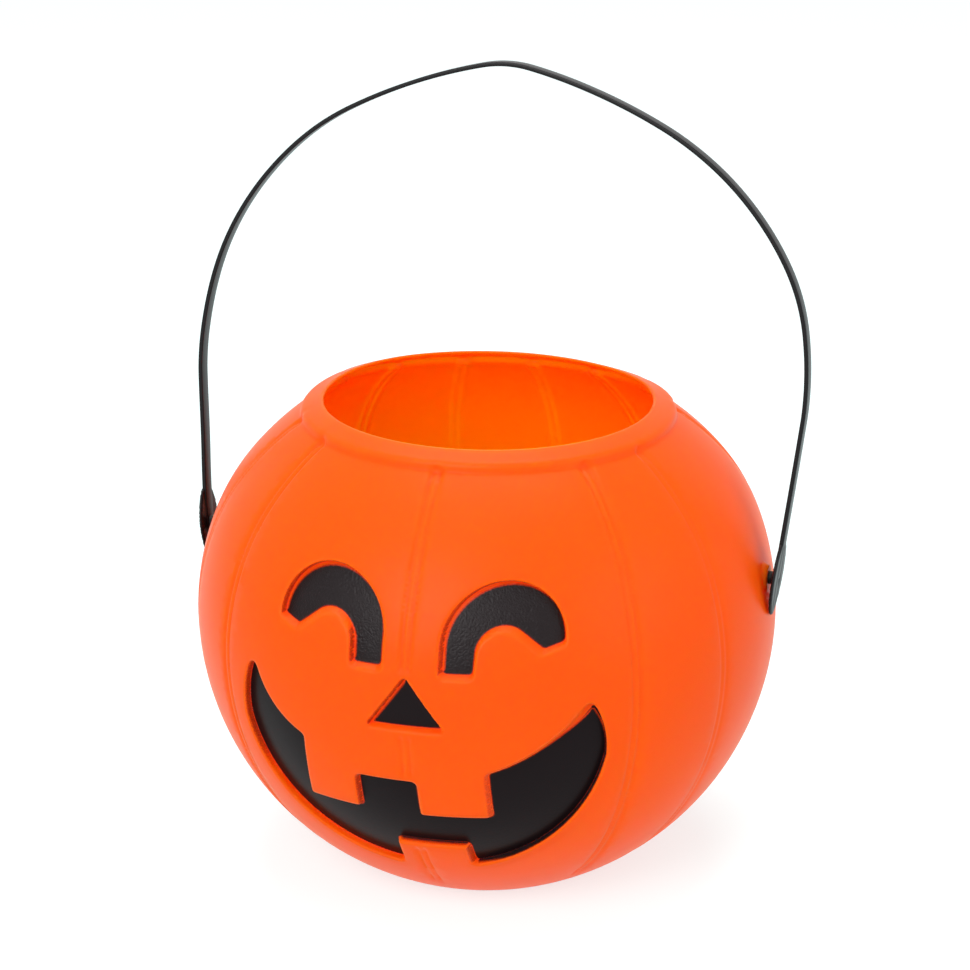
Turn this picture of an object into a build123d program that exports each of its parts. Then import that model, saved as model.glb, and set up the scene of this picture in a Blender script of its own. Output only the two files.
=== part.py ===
from build123d import *
import math
import os

# Pumpkin candy pail: a thin blow-moulded globe with a recessed face, and a strap handle on two snap pegs.
# Millimetres. +Z is up, the face looks along -Y, and the origin is the middle of the base on the table.

# Globe: a half ball below the widest ring, and above it rounded sides that run into a flatter crown
GLOBE_RADIUS = 100.0
BASE_CUT_DEPTH = 9.5
SIDE_ROUND = 78.0
SIDE_TURN = 40.0
WALL = 1.5

# Base: a flat standing ring round a pushed-up middle
PUSH_UP_HEIGHT = 3.0
PUSH_UP_RADIUS = 28.0
STANDING_RING_INNER_RADIUS = 33.0
BASE_EDGE_ROUND = 10.0

# Collar round the mouth: it bulges up from its foot on the crown and runs in to a trimmed lip
COLLAR_FOOT_RADIUS = 62.0
COLLAR_BULGE_IN = 2.0
COLLAR_BULGE_UP = 3.8
COLLAR_WIDTH = 7.0
COLLAR_RISE = 5.5

# Panel grooves: equal steps round the globe, two fine valleys beside a low rib
GROOVE_POSITIONS = 16
GROOVES_PRESENT = (0, 2, 3, 5, 6, 7, 8, 9, 10, 11, 13, 14)
GROOVE_VALLEY_WIDTH = 1.7
GROOVE_RIB_WIDTH = 2.2
GROOVE_DEPTH = 0.5
GROOVE_LOWER_END = 9.0

# Recessed face: heights on it are rises above the equator
RECESS_DEPTH = 3.0
FACE_CORNER_ROUND = 1.8
PAINT_THICKNESS = 0.25
PAINT_SEAT = 0.05
PAINT_MARGIN = 0.4

# Eyes: a round arch over a long inner leg and a short outer leg
EYE_CENTRE_X = 28.6
EYE_CENTRE_RISE = 22.1
EYE_ARCH_RADIUS = 18.6
EYE_LEG_DROP = 9.7
EYE_LEG_WIDTH = 10.1
EYE_SMILE_RADIUS = 8.3
EYE_SMILE_DROP = 2.8
EYE_TIP_REACH = 12.4
EYE_TIP_DROP = 2.1
EYES_SHIFT = 1.6
EYES_TILT = 0.4

# Nose: a triangle
NOSE_HALF_WIDTH = 11.7
NOSE_BASE_RISE = -6.5
NOSE_APEX_RISE = 10.3

# Mouth: a round grin with two upper teeth and one lower tooth
GRIN_RADIUS = 62.5
GRIN_CENTRE_RISE = -4.0
GRIN_SIDE_ANGLE = 13.0
GRIN_TIP_INSET = 5.1
GRIN_TIP_RISE = 3.5
GRIN_TILT = 1.5
GRIN_SIDE_BULGE = 1.5
UPPER_LIP_SAG = 3.4
UPPER_LIP_END_RISE = -20.0
UPPER_TEETH_TOP_RISE = -27.5
UPPER_TEETH_END_RISE = -41.3
RIGHT_TOOTH_LEFT = 2.4
RIGHT_TOOTH_RIGHT = 25.8
LEFT_TOOTH_LEFT = -37.6
LEFT_TOOTH_RIGHT = -18.0
LOWER_TOOTH_LEFT = -8.0
LOWER_TOOTH_RIGHT = 16.4
LOWER_TOOTH_HEIGHT = 12.2

# Hinge: a boss with a plain hole on each side
PIVOT_RISE = 19.0
BOSS_RADIUS = 4.4
BOSS_HEIGHT = 2.75
PEG_RADIUS = 2.2
PEG_CLEARANCE = 0.06
PEG_HEAD_RADIUS = 3.0
PEG_HEAD_TIP_RADIUS = 1.3
PEG_HEAD_LENGTH = 2.4
PEG_HEAD_PLAY = 0.5

# Handle: a bent strap with a paddle at each end, leaning back from the face
STRAP_WIDTH = 6.0
STRAP_THICKNESS = 1.8
STRAP_EDGE_BEVEL = 0.4
HANDLE_LEAN = 7.0
SIDE_SPLAY = 6.5
SHOULDER_RADIUS = 95.0
SHOULDER_CENTRE_UP = 65.0
SHOULDER_END_SLOPE = 27.0
ROOF_RADIUS = 200.0
CROWN_RADIUS = 40.0
PADDLE_STAND_OFF = 1.9
PADDLE_LENGTH_UP = 11.0
PADDLE_LENGTH_DOWN = 12.5
PADDLE_WIDTH = 15.5
PADDLE_WIDEST_UP = 1.0
PADDLE_TIP_ROUND = 4.0
PADDLE_THICKNESS = 1.4
PADDLE_PROUD = 0.2


# Middle of the sides' rounding, and the crown ball that carries on from the sides without a kink
EQUATOR_HEIGHT = GLOBE_RADIUS - BASE_CUT_DEPTH
SIDE_CENTRE_OUT = GLOBE_RADIUS - SIDE_ROUND
CROWN_CENTRE_HEIGHT = EQUATOR_HEIGHT - SIDE_CENTRE_OUT * math.tan(math.radians(SIDE_TURN))
CROWN_ROUND = SIDE_ROUND + SIDE_CENTRE_OUT / math.cos(math.radians(SIDE_TURN))

# Foot of the collar on the crown, and the lip at the top of the collar
COLLAR_FOOT_HEIGHT = CROWN_CENTRE_HEIGHT + math.sqrt(CROWN_ROUND ** 2 - COLLAR_FOOT_RADIUS ** 2)
LIP_RADIUS = COLLAR_FOOT_RADIUS - COLLAR_WIDTH
LIP_HEIGHT = COLLAR_FOOT_HEIGHT + COLLAR_RISE


def globe_radius_at(height, inset=0.0):
    """Radius of the globe, drawn in by inset, at a height."""
    rise = height - EQUATOR_HEIGHT
    if rise <= 0:
        return math.sqrt((GLOBE_RADIUS - inset) ** 2 - rise ** 2)
    if rise <= (SIDE_ROUND - inset) * math.sin(math.radians(SIDE_TURN)):
        return SIDE_CENTRE_OUT + math.sqrt((SIDE_ROUND - inset) ** 2 - rise ** 2)
    return math.sqrt((CROWN_ROUND - inset) ** 2 - (height - CROWN_CENTRE_HEIGHT) ** 2)


# Hinge line, the boss's outer end on it, and the middle of the strap's end beside the boss
PIVOT_HEIGHT = EQUATOR_HEIGHT + PIVOT_RISE
BOSS_REACH = globe_radius_at(PIVOT_HEIGHT) + BOSS_HEIGHT
HINGE_OUT = BOSS_REACH + PADDLE_STAND_OFF


def globe_arc(inset=0.0, lower_turn=90.0, upper_turn=90.0):
    """Meridian of the globe, drawn in by inset, from lower_turn below the equator up to upper_turn."""
    middle = (0, EQUATOR_HEIGHT)
    arc = CenterArc(middle, GLOBE_RADIUS - inset, -lower_turn, lower_turn)
    arc += CenterArc((SIDE_CENTRE_OUT, EQUATOR_HEIGHT), SIDE_ROUND - inset, 0, SIDE_TURN)
    arc += CenterArc((0, CROWN_CENTRE_HEIGHT), CROWN_ROUND - inset, SIDE_TURN, upper_turn - SIDE_TURN)
    return arc


def globe_half(inset):
    """Half section of the globe, drawn in by inset, on the outer side of the axis."""
    arc = globe_arc(inset)
    return make_face(arc + Line(arc @ 1, arc @ 0))


def globe_solid(inset):
    """Whole closed globe, drawn in by inset."""
    return revolve(Plane.XZ * globe_half(inset), Axis.Z)


def wall_surface(inset, lip_height):
    """Solid bounded by one face of the wall: the outer face at no inset, the inner face at one wall."""
    floor = inset
    base_radius = globe_radius_at(floor, inset)
    foot_height = COLLAR_FOOT_HEIGHT - 0.5 * inset
    foot_radius = globe_radius_at(foot_height, inset)
    bulge = (COLLAR_FOOT_RADIUS - COLLAR_BULGE_IN - inset, COLLAR_FOOT_HEIGHT + COLLAR_BULGE_UP - inset)
    lip = (LIP_RADIUS - 0.3 * inset, lip_height)
    outline = Polyline(
        (0, lip_height),
        (0, PUSH_UP_HEIGHT + floor),
        (PUSH_UP_RADIUS, PUSH_UP_HEIGHT + floor),
        (STANDING_RING_INNER_RADIUS, floor),
        (base_radius, floor),
    )
    lower_turn = math.degrees(math.acos(base_radius / (GLOBE_RADIUS - inset)))
    upper_turn = math.degrees(math.acos(foot_radius / (CROWN_ROUND - inset)))
    outline += globe_arc(inset, lower_turn, upper_turn)
    outline += ThreePointArc((foot_radius, foot_height), bulge, lip)
    outline += Line(lip, (0, lip_height))
    section = make_face(outline)
    corner = section.vertices().sort_by_distance((base_radius, floor))[0]
    return revolve(Plane.XZ * fillet(corner, BASE_EDGE_ROUND - inset), Axis.Z)


def rounded(face, corners):
    """Face with its sharp corners rounded."""
    sharp = [face.vertices().sort_by_distance(corner)[0] for corner in corners]
    return fillet(sharp, FACE_CORNER_ROUND)


def facing_front(outline):
    """Face outline turned so that its front side is the drawn side."""
    face = outline.face()
    return face if face.normal_at().Z > 0 else -face


def eye_outline(side):
    """Arched smiling eye: side is +1 on the right of the face, -1 on the left, which sits higher."""
    inner_edge = EYE_CENTRE_X - EYE_ARCH_RADIUS
    outer_edge = EYE_CENTRE_X + EYE_ARCH_RADIUS
    smile_rise = EYE_CENTRE_RISE - EYE_SMILE_DROP
    tip = Vector(EYE_CENTRE_X + EYE_TIP_REACH, EYE_CENTRE_RISE - EYE_TIP_DROP)
    reach = tip - Vector(EYE_CENTRE_X, smile_rise)
    bearing = math.atan2(reach.Y, reach.X)
    lift = math.acos(EYE_SMILE_RADIUS / reach.length)
    touch = bearing + lift

    def on_smile(angle):
        return (
            EYE_CENTRE_X + EYE_SMILE_RADIUS * math.cos(angle),
            smile_rise + EYE_SMILE_RADIUS * math.sin(angle),
        )

    leg_end = EYE_CENTRE_RISE - EYE_LEG_DROP
    leg_outer = (inner_edge + EYE_LEG_WIDTH, leg_end)
    leg_inner = (inner_edge, leg_end)
    outline = Polyline(leg_outer, leg_inner, (inner_edge, EYE_CENTRE_RISE))
    outline += ThreePointArc((inner_edge, EYE_CENTRE_RISE),
                             (EYE_CENTRE_X, EYE_CENTRE_RISE + EYE_ARCH_RADIUS),
                             (outer_edge, EYE_CENTRE_RISE))
    outline += Polyline((outer_edge, EYE_CENTRE_RISE), (tip.X, tip.Y), on_smile(touch))
    outline += ThreePointArc(on_smile(touch), on_smile(math.pi / 2), on_smile(math.pi))
    outline += Line(on_smile(math.pi), leg_outer)
    outer_corner = (outer_edge, EYE_CENTRE_RISE)
    face = rounded(make_face(outline), [leg_outer, leg_inner, outer_corner, tip])
    return Pos(EYES_SHIFT, -side * EYES_TILT) * (face if side > 0 else mirror(face, Plane.YZ))


def nose_outline():
    """Triangular nose."""
    corners = [
        (-NOSE_HALF_WIDTH, NOSE_BASE_RISE),
        (NOSE_HALF_WIDTH, NOSE_BASE_RISE),
        (0, NOSE_APEX_RISE),
    ]
    return rounded(make_face(Polyline(*corners, close=True)), corners)


def grin_at(x):
    """Point on the round lower edge of the grin."""
    return (x, GRIN_CENTRE_RISE - math.sqrt(GRIN_RADIUS ** 2 - x ** 2))


def middle_of(start, end, bulge):
    """Point halfway between two points, pushed out to the right of the way from start to end."""
    way = Vector(end) - Vector(start)
    out = Vector(way.Y, -way.X).normalized()
    point = (Vector(start) + Vector(end)) * 0.5 + out * bulge
    return (point.X, point.Y)


def mouth_outline():
    """Grin with two upper teeth that hang down and one lower tooth that stands up."""
    side_x = GRIN_RADIUS * math.cos(math.radians(GRIN_SIDE_ANGLE))
    low_right = grin_at(LOWER_TOOTH_RIGHT)
    low_left = grin_at(LOWER_TOOTH_LEFT)
    right_side = grin_at(side_x)
    left_side = grin_at(-side_x)
    tip_x = GRIN_RADIUS - GRIN_TIP_INSET
    right_tip = (tip_x, GRIN_TIP_RISE - GRIN_TILT)
    left_tip = (-tip_x, GRIN_TIP_RISE + GRIN_TILT)
    right_lip = (RIGHT_TOOTH_RIGHT, UPPER_LIP_END_RISE - 2 * GRIN_TILT)
    left_lip = (LEFT_TOOTH_LEFT, UPPER_LIP_END_RISE + 2 * GRIN_TILT)
    outline = ThreePointArc(low_right, grin_at(0.6 * side_x), right_side)
    outline += ThreePointArc(right_side, middle_of(right_side, right_tip, GRIN_SIDE_BULGE), right_tip)
    outline += ThreePointArc(right_tip, middle_of(right_lip, right_tip, UPPER_LIP_SAG), right_lip)
    upper_teeth = [
        right_lip,
        (RIGHT_TOOTH_RIGHT, UPPER_TEETH_END_RISE),
        (RIGHT_TOOTH_LEFT, UPPER_TEETH_END_RISE),
        (RIGHT_TOOTH_LEFT, UPPER_TEETH_TOP_RISE),
        (LEFT_TOOTH_RIGHT, UPPER_TEETH_TOP_RISE),
        (LEFT_TOOTH_RIGHT, UPPER_TEETH_END_RISE),
        (LEFT_TOOTH_LEFT, UPPER_TEETH_END_RISE),
        left_lip,
    ]
    outline += Polyline(*upper_teeth)
    outline += ThreePointArc(left_lip, middle_of(left_tip, left_lip, UPPER_LIP_SAG), left_tip)
    outline += ThreePointArc(left_tip, middle_of(left_tip, left_side, GRIN_SIDE_BULGE), left_side)
    outline += ThreePointArc(left_side, grin_at(-0.6 * side_x), low_left)
    tooth_top = grin_at(0)[1] + LOWER_TOOTH_HEIGHT
    lower_tooth = [low_left, (LOWER_TOOTH_LEFT, tooth_top), (LOWER_TOOTH_RIGHT, tooth_top), low_right]
    outline += Polyline(*lower_tooth)
    return rounded(make_face(outline), upper_teeth + lower_tooth + [right_tip, left_tip])


def prism(outline, grow=0.0):
    """Front prism of a face outline, straight along the mould's pull, grown or shrunk all round."""
    shape = offset(outline, grow, kind=Kind.INTERSECTION) if grow else outline
    bar = extrude(Plane.XZ * shape, GLOBE_RADIUS, dir=(0, -1, 0))
    return Pos(0, -0.2 * GLOBE_RADIUS, EQUATOR_HEIGHT) * bar


FACE_OUTLINES = {
    "left_eye": facing_front(eye_outline(-1)),
    "right_eye": facing_front(eye_outline(1)),
    "nose": facing_front(nose_outline()),
    "mouth": facing_front(mouth_outline()),
}

RECESS_FLOOR = globe_solid(RECESS_DEPTH)
RECESS_BACK = globe_solid(RECESS_DEPTH + WALL)


def groove_cutters():
    """Pairs of thin slabs that stand along meridians and cut the groove valleys."""
    strip = make_face(Polyline((0, GROOVE_LOWER_END), (2 * GLOBE_RADIUS, GROOVE_LOWER_END),
                               (2 * GLOBE_RADIUS, COLLAR_FOOT_HEIGHT), (0, COLLAR_FOOT_HEIGHT), close=True))
    strip -= globe_half(GROOVE_DEPTH)
    slab = extrude(Plane.XZ * strip, GROOVE_VALLEY_WIDTH / 2, both=True)
    shift = (GROOVE_RIB_WIDTH + GROOVE_VALLEY_WIDTH) / 2
    pair = [Pos(0, shift, 0) * slab, Pos(0, -shift, 0) * slab]
    step = 360.0 / GROOVE_POSITIONS
    return [Rot(0, 0, number * step - 90) * one for number in GROOVES_PRESENT for one in pair]


def both_sides(shape):
    """A shape on the right side of the pail and its mirror image on the left."""
    return [shape, mirror(shape, Plane.YZ)]


def along_x(radius, start, end):
    """Round bar on the hinge line, from one distance out to another."""
    bar = Cylinder(radius, end - start, align=(Align.CENTER, Align.CENTER, Align.MIN))
    return Pos(start, 0, PIVOT_HEIGHT) * Rot(0, 90, 0) * bar


def pail_shell():
    """Blow-moulded globe: an outer skin less the cavity one wall inside it."""
    skin = wall_surface(0.0, LIP_HEIGHT)
    cavity = wall_surface(WALL, LIP_HEIGHT + WALL)
    for outline in FACE_OUTLINES.values():
        skin -= prism(outline) - RECESS_FLOOR
        cavity -= prism(outline, WALL) - RECESS_BACK
    skin -= groove_cutters()
    boss_root = globe_radius_at(PIVOT_HEIGHT, 2 * WALL)
    for boss in both_sides(along_x(BOSS_RADIUS, boss_root, BOSS_REACH)):
        skin += boss
    hole = along_x(PEG_RADIUS + PEG_CLEARANCE, 0.5 * GLOBE_RADIUS, BOSS_REACH + WALL)
    return skin - cavity - both_sides(hole)


def paint_film(outline):
    """Sprayed film on the floor of one recess."""
    top = globe_solid(RECESS_DEPTH - PAINT_SEAT - PAINT_THICKNESS)
    seat = globe_solid(RECESS_DEPTH - PAINT_SEAT)
    return (prism(outline, -PAINT_MARGIN) & top) - seat


def handle_centre_line():
    """Right half of the strap's centre line, as points out from the middle and up from the hinge."""
    splay = math.radians(SIDE_SPLAY)
    roof_turn = math.radians(90 - SHOULDER_END_SLOPE)
    side_rise = SHOULDER_CENTRE_UP - SHOULDER_RADIUS * math.sin(splay)
    shoulder_out = HINGE_OUT + side_rise * math.tan(splay) - SHOULDER_RADIUS * math.cos(splay)
    # The flatter roof arc carries on from the shoulder, and the crown arc from the roof, without a kink
    roof_out = shoulder_out - (ROOF_RADIUS - SHOULDER_RADIUS) * math.cos(roof_turn)
    roof_up = SHOULDER_CENTRE_UP - (ROOF_RADIUS - SHOULDER_RADIUS) * math.sin(roof_turn)
    crown_turn = math.acos(-roof_out / (ROOF_RADIUS - CROWN_RADIUS))
    crown_up = roof_up + (ROOF_RADIUS - CROWN_RADIUS) * math.sin(crown_turn)

    def on_shoulder(turn):
        return Vector(shoulder_out + SHOULDER_RADIUS * math.cos(turn),
                      SHOULDER_CENTRE_UP + SHOULDER_RADIUS * math.sin(turn))

    def on_roof(turn):
        return Vector(roof_out + ROOF_RADIUS * math.cos(turn), roof_up + ROOF_RADIUS * math.sin(turn))

    return {
        "hinge": Vector(HINGE_OUT, 0),
        "side_top": on_shoulder(-splay),
        "shoulder": on_shoulder((roof_turn - splay) / 2),
        "roof_start": on_roof(roof_turn),
        "roof": on_roof((roof_turn + crown_turn) / 2),
        "crown_end": on_roof(crown_turn),
        "crown": Vector(0, crown_up + CROWN_RADIUS),
    }


def paddle():
    """Thin oval end of the strap, which the strap crosses as a rib down to the snap peg."""
    half, widest = STRAP_WIDTH / 2, PADDLE_WIDTH / 2
    top, tip = PADDLE_LENGTH_UP, (0, -PADDLE_LENGTH_DOWN)
    outline = Line((half, top), (-half, top))
    outline += ThreePointArc((-half, top), (-widest, PADDLE_WIDEST_UP), tip)
    outline += ThreePointArc(tip, (widest, PADDLE_WIDEST_UP), (half, top))
    leaf = make_face(outline)
    leaf = fillet(leaf.vertices().sort_by(Axis.Y)[0], PADDLE_TIP_ROUND)
    plate = extrude(leaf, PADDLE_THICKNESS)
    # The plate's outer face stands a little proud of the strap, and its inner face leaves the rib free
    outer_face = STRAP_THICKNESS / 2 + PADDLE_PROUD
    plate = Plane.YZ * Pos(0, 0, outer_face - PADDLE_THICKNESS) * plate
    upright = Pos(HINGE_OUT, 0, PIVOT_HEIGHT) * Rot(0, SIDE_SPLAY, 0) * plate
    inner_wall = globe_radius_at(PIVOT_HEIGHT + PEG_HEAD_RADIUS, WALL)
    head_start = inner_wall - PEG_HEAD_PLAY - PEG_HEAD_LENGTH
    stem = along_x(PEG_RADIUS, head_start + 0.7 * PEG_HEAD_LENGTH, HINGE_OUT)
    head = Cone(PEG_HEAD_RADIUS, PEG_HEAD_TIP_RADIUS, PEG_HEAD_LENGTH,
                align=(Align.CENTER, Align.CENTER, Align.MIN))
    snap = Pos(head_start + PEG_HEAD_LENGTH, 0, PIVOT_HEIGHT) * Rot(0, -90, 0) * head
    return upright + stem + snap


def handle_strap():
    """Strap, paddles and pegs as one moulding, leaning back about the hinge line."""
    line = {name: Vector(p.X, p.Y + PIVOT_HEIGHT) for name, p in handle_centre_line().items()}
    left = {name: Vector(-p.X, p.Y) for name, p in line.items()}
    path = Line(line["hinge"], line["side_top"])
    path += ThreePointArc(line["side_top"], line["shoulder"], line["roof_start"])
    path += ThreePointArc(line["roof_start"], line["roof"], line["crown_end"])
    path += ThreePointArc(line["crown_end"], line["crown"], left["crown_end"])
    path += ThreePointArc(left["crown_end"], left["roof"], left["roof_start"])
    path += ThreePointArc(left["roof_start"], left["shoulder"], left["side_top"])
    path += Line(left["side_top"], left["hinge"])
    path = Plane.XZ * path
    section = chamfer(Rectangle(STRAP_THICKNESS, STRAP_WIDTH).vertices(), STRAP_EDGE_BEVEL)
    start = Plane(origin=path @ 0, z_dir=path % 0, x_dir=(1, 0, 0))
    handle = sweep(start * section, path)
    for end in both_sides(paddle()):
        handle += end
    return handle.rotate(Axis((0, 0, PIVOT_HEIGHT), (1, 0, 0)), -HANDLE_LEAN)


NODES = {"pail_shell": pail_shell(), "handle_strap": handle_strap()}
for name, outline in FACE_OUTLINES.items():
    NODES[name + "_paint"] = paint_film(outline)

os.makedirs("parts", exist_ok=True)
for name, shape in NODES.items():
    export_step(shape, f"parts/{name}.step")
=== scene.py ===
"""Dressed scene of a pumpkin candy pail: blown globe, sprayed face, swinging strap handle, plain studio."""

import logging
import math
from dataclasses import dataclass, field
from enum import Enum
from typing import Any

import bpy
import numpy as np
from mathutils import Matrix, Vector, geometry, kdtree


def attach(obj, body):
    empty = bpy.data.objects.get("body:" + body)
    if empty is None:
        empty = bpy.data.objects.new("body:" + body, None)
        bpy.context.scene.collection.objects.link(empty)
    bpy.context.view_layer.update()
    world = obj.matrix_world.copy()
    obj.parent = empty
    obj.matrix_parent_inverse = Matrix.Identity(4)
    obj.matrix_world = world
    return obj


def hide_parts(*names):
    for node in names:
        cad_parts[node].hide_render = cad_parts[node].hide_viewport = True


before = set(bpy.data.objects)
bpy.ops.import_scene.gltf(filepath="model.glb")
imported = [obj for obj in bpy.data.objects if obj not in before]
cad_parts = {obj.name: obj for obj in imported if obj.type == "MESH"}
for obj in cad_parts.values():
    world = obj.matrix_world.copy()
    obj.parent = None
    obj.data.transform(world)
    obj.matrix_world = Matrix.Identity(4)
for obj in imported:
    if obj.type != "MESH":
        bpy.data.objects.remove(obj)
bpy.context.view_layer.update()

LOG = logging.getLogger("pumpkin_pail")
MM = 0.001
IMAGE_PIXELS = 970
WHITE = "FFFFFF"
# Points on a rounded corner, the share of a side that one may use, and points measured at a time
CORNER_POINTS, CORNER_SHARE, BATCH = 7, 0.45, 4000


class FacePart(Enum):
    """Recessed parts of the face, by the paint node each one stands for."""

    LEFT_EYE = "left_eye_paint"
    RIGHT_EYE = "right_eye_paint"
    NOSE = "nose_paint"
    MOUTH = "mouth_paint"


class Coat(Enum):
    """How pebbled a coat of sprayed paint dried, from 0 for flat to 1."""

    PEBBLED = 1.0
    FINE = 0.25
    SMOOTH = 0.12


class Body(Enum):
    """Bodies of the frame that the pieces ride on."""

    PAIL = "pail"
    HANDLE = "handle"


# Small helpers


def linear(hex_colour: str) -> tuple[float, float, float, float]:
    """Turns an sRGB hex colour into linear values.

    Args:
        hex_colour: Six hex digits.

    Returns:
        Linear red, green and blue, with full alpha.
    """
    values = [int(hex_colour[i:i + 2], 16) / 255 for i in (0, 2, 4)]
    red, green, blue = (v / 12.92 if v <= 0.04045 else ((v + 0.055) / 1.055) ** 2.4 for v in values)
    return red, green, blue, 1.0


def plug(tree: bpy.types.NodeTree, node: bpy.types.Node, inputs: dict[Any, Any]) -> None:
    """Links or sets inputs of a node.

    Args:
        tree: Node tree that holds the node.
        node: The node.
        inputs: For each input's name or number, a socket to link from or a value.
    """
    for key, value in inputs.items():
        if isinstance(value, bpy.types.NodeSocket):
            tree.links.new(value, node.inputs[key])
        else:
            node.inputs[key].default_value = value


def add_node(tree: bpy.types.NodeTree, kind: str, inputs: dict[Any, Any] | None = None,
             **settings: Any) -> bpy.types.Node:
    """Adds a node with its settings, and links or sets its inputs.

    Args:
        tree: Node tree that gets the node.
        kind: Blender's name for the kind of node.
        inputs: For each input's name or number, a socket to link from or a value.
        **settings: Properties of the node itself.

    Returns:
        The new node.
    """
    node = tree.nodes.new(kind)
    for name, value in settings.items():
        setattr(node, name, value)
    plug(tree, node, inputs or {})
    return node


def start_material(name: str) -> tuple[bpy.types.Material, bpy.types.NodeTree]:
    """Makes a material with nodes.

    Args:
        name: Name of the material.

    Returns:
        The material and its node tree.
    """
    made = bpy.data.materials.new(name)
    made.use_nodes = True
    return made, made.node_tree


def start_tree(name: str, inputs: dict[str, str]) -> tuple[bpy.types.NodeTree, Any]:
    """Starts a Geometry Nodes tree.

    Args:
        name: Name of the tree.
        inputs: Kind of each named input, besides the geometry and the finish.

    Returns:
        The tree and the sockets that give its inputs.
    """
    tree = bpy.data.node_groups.new(name, "GeometryNodeTree")
    tree.interface.new_socket("Geometry", in_out="OUTPUT", socket_type="NodeSocketGeometry")
    for label, kind in {"Geometry": "Geometry", **inputs, "Finish": "Material"}.items():
        tree.interface.new_socket(label, in_out="INPUT", socket_type="NodeSocket" + kind)
    return tree, add_node(tree, "NodeGroupInput").outputs


def end_tree(tree: bpy.types.NodeTree, shape: bpy.types.NodeSocket, finish: bpy.types.NodeSocket) -> None:
    """Ends a Geometry Nodes tree with real instances and their material.

    Args:
        tree: The tree.
        shape: Socket that gives the geometry.
        finish: Socket that gives the material.
    """
    real = add_node(tree, "GeometryNodeRealizeInstances", {0: shape})
    dressed = add_node(tree, "GeometryNodeSetMaterial", {"Geometry": real.outputs[0], "Material": finish})
    add_node(tree, "NodeGroupOutput", {0: dressed.outputs[0]})


def smooth_step(low: float, high: float, value: np.ndarray) -> np.ndarray:
    """Eases from 0 at low to 1 at high."""
    share = np.clip((value - low) / (high - low), 0.0, 1.0)
    return share * share * (3.0 - 2.0 * share)


def make_mesh(name: str, points: np.ndarray, faces: list) -> bpy.types.Mesh:
    """Makes a smooth-shaded mesh from points in mm.

    Args:
        name: Name of the mesh.
        points: Vertex places, in mm.
        faces: Vertex numbers of each face, outwards.

    Returns:
        The mesh, in metres.
    """
    mesh = bpy.data.meshes.new(name)
    mesh.from_pydata((points * MM).tolist(), [], faces)
    mesh.shade_smooth()
    return mesh


def show(name: str, mesh: bpy.types.Mesh) -> bpy.types.Object:
    """Puts a mesh into the scene at the origin.

    Args:
        name: Name of the piece.
        mesh: Its mesh.

    Returns:
        The piece.
    """
    piece = bpy.data.objects.new(name, mesh)
    bpy.context.scene.collection.objects.link(piece)
    return piece


def keep(mesh: bpy.types.Mesh, name: str, values: np.ndarray) -> None:
    """Stores a number or a vector for every vertex under a name."""
    kind, key = ("FLOAT", "value") if values.ndim == 1 else ("FLOAT_VECTOR", "vector")
    mesh.attributes.new(name, kind, "POINT").data.foreach_set(key, np.ascontiguousarray(values, np.float32).ravel())


def stored(mesh: bpy.types.Mesh, name: str) -> np.ndarray:
    """Reads the number stored for every vertex.

    Args:
        mesh: Mesh that holds it.
        name: Name that it was stored under.

    Returns:
        One number per vertex.
    """
    values = np.empty(len(mesh.vertices))
    mesh.attributes[name].data.foreach_get("value", values)
    return values


def rows_of(items: Any, key: str) -> np.ndarray:
    """Reads a vector from every item.

    Args:
        items: Vertices or normals of a mesh.
        key: Blender's name for the vector.

    Returns:
        One row per item.
    """
    values = np.empty(len(items) * 3)
    items.foreach_get(key, values)
    return values.reshape(-1, 3)


def shape_with(piece: bpy.types.Object, tree: bpy.types.NodeTree, sizes: dict[str, Any]) -> None:
    """Runs Geometry Nodes on a piece, and leaves the result as its plain mesh, with no modifier.

    Args:
        piece: Piece whose mesh goes into the tree.
        tree: The tree.
        sizes: Value of each named input.
    """
    modifier = piece.modifiers.new(tree.name, "NODES")
    modifier.node_group = tree
    for socket in tree.interface.items_tree:
        if socket.in_out == "INPUT" and socket.name in sizes:
            modifier[socket.identifier] = sizes[socket.name]
    graph = bpy.context.evaluated_depsgraph_get()
    mesh = bpy.data.meshes.new_from_object(piece.evaluated_get(graph), preserve_all_data_layers=True, depsgraph=graph)
    piece.modifiers.clear()
    piece.data = mesh


# Flat outlines


def arc(centre: tuple[float, float], radius: float, start: float, end: float, spacing: float = 1.2) -> np.ndarray:
    """Points along an arc.

    Args:
        centre: Middle of the arc.
        radius: Radius of the arc.
        start: First angle, in radians.
        end: Last angle, in radians.
        spacing: Distance between points.

    Returns:
        One row per point.
    """
    turn = np.linspace(start, end, max(3, int(abs(end - start) * radius / spacing) + 1))
    return np.column_stack((centre[0] + radius * np.cos(turn), centre[1] + radius * np.sin(turn)))


def arc_through(first: Any, middle: Any, last: Any, spacing: float = 1.2) -> np.ndarray:
    """Points along the arc that runs through three points.

    Args:
        first: Start of the arc.
        middle: A point on it.
        last: End of the arc.
        spacing: Distance between points.

    Returns:
        One row per point.
    """
    a, b, c = (np.asarray(p, float) for p in (first, middle, last))
    sides = 2.0 * np.array([b - a, c - a])
    centre = np.linalg.solve(sides, [b @ b - a @ a, c @ c - a @ a])
    start, through, end = (math.atan2(p[1] - centre[1], p[0] - centre[0]) for p in (a, b, c))
    forward, whole = (through - start) % math.tau, (end - start) % math.tau
    turn = whole if forward < whole else whole - math.tau
    return arc(tuple(centre), float(np.linalg.norm(a - centre)), start, start + turn, spacing)


def walked(path: np.ndarray) -> np.ndarray:
    """Distance walked along a path at each of its points."""
    return np.concatenate(([0.0], np.cumsum(np.linalg.norm(np.diff(path, axis=0), axis=1))))


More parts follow.
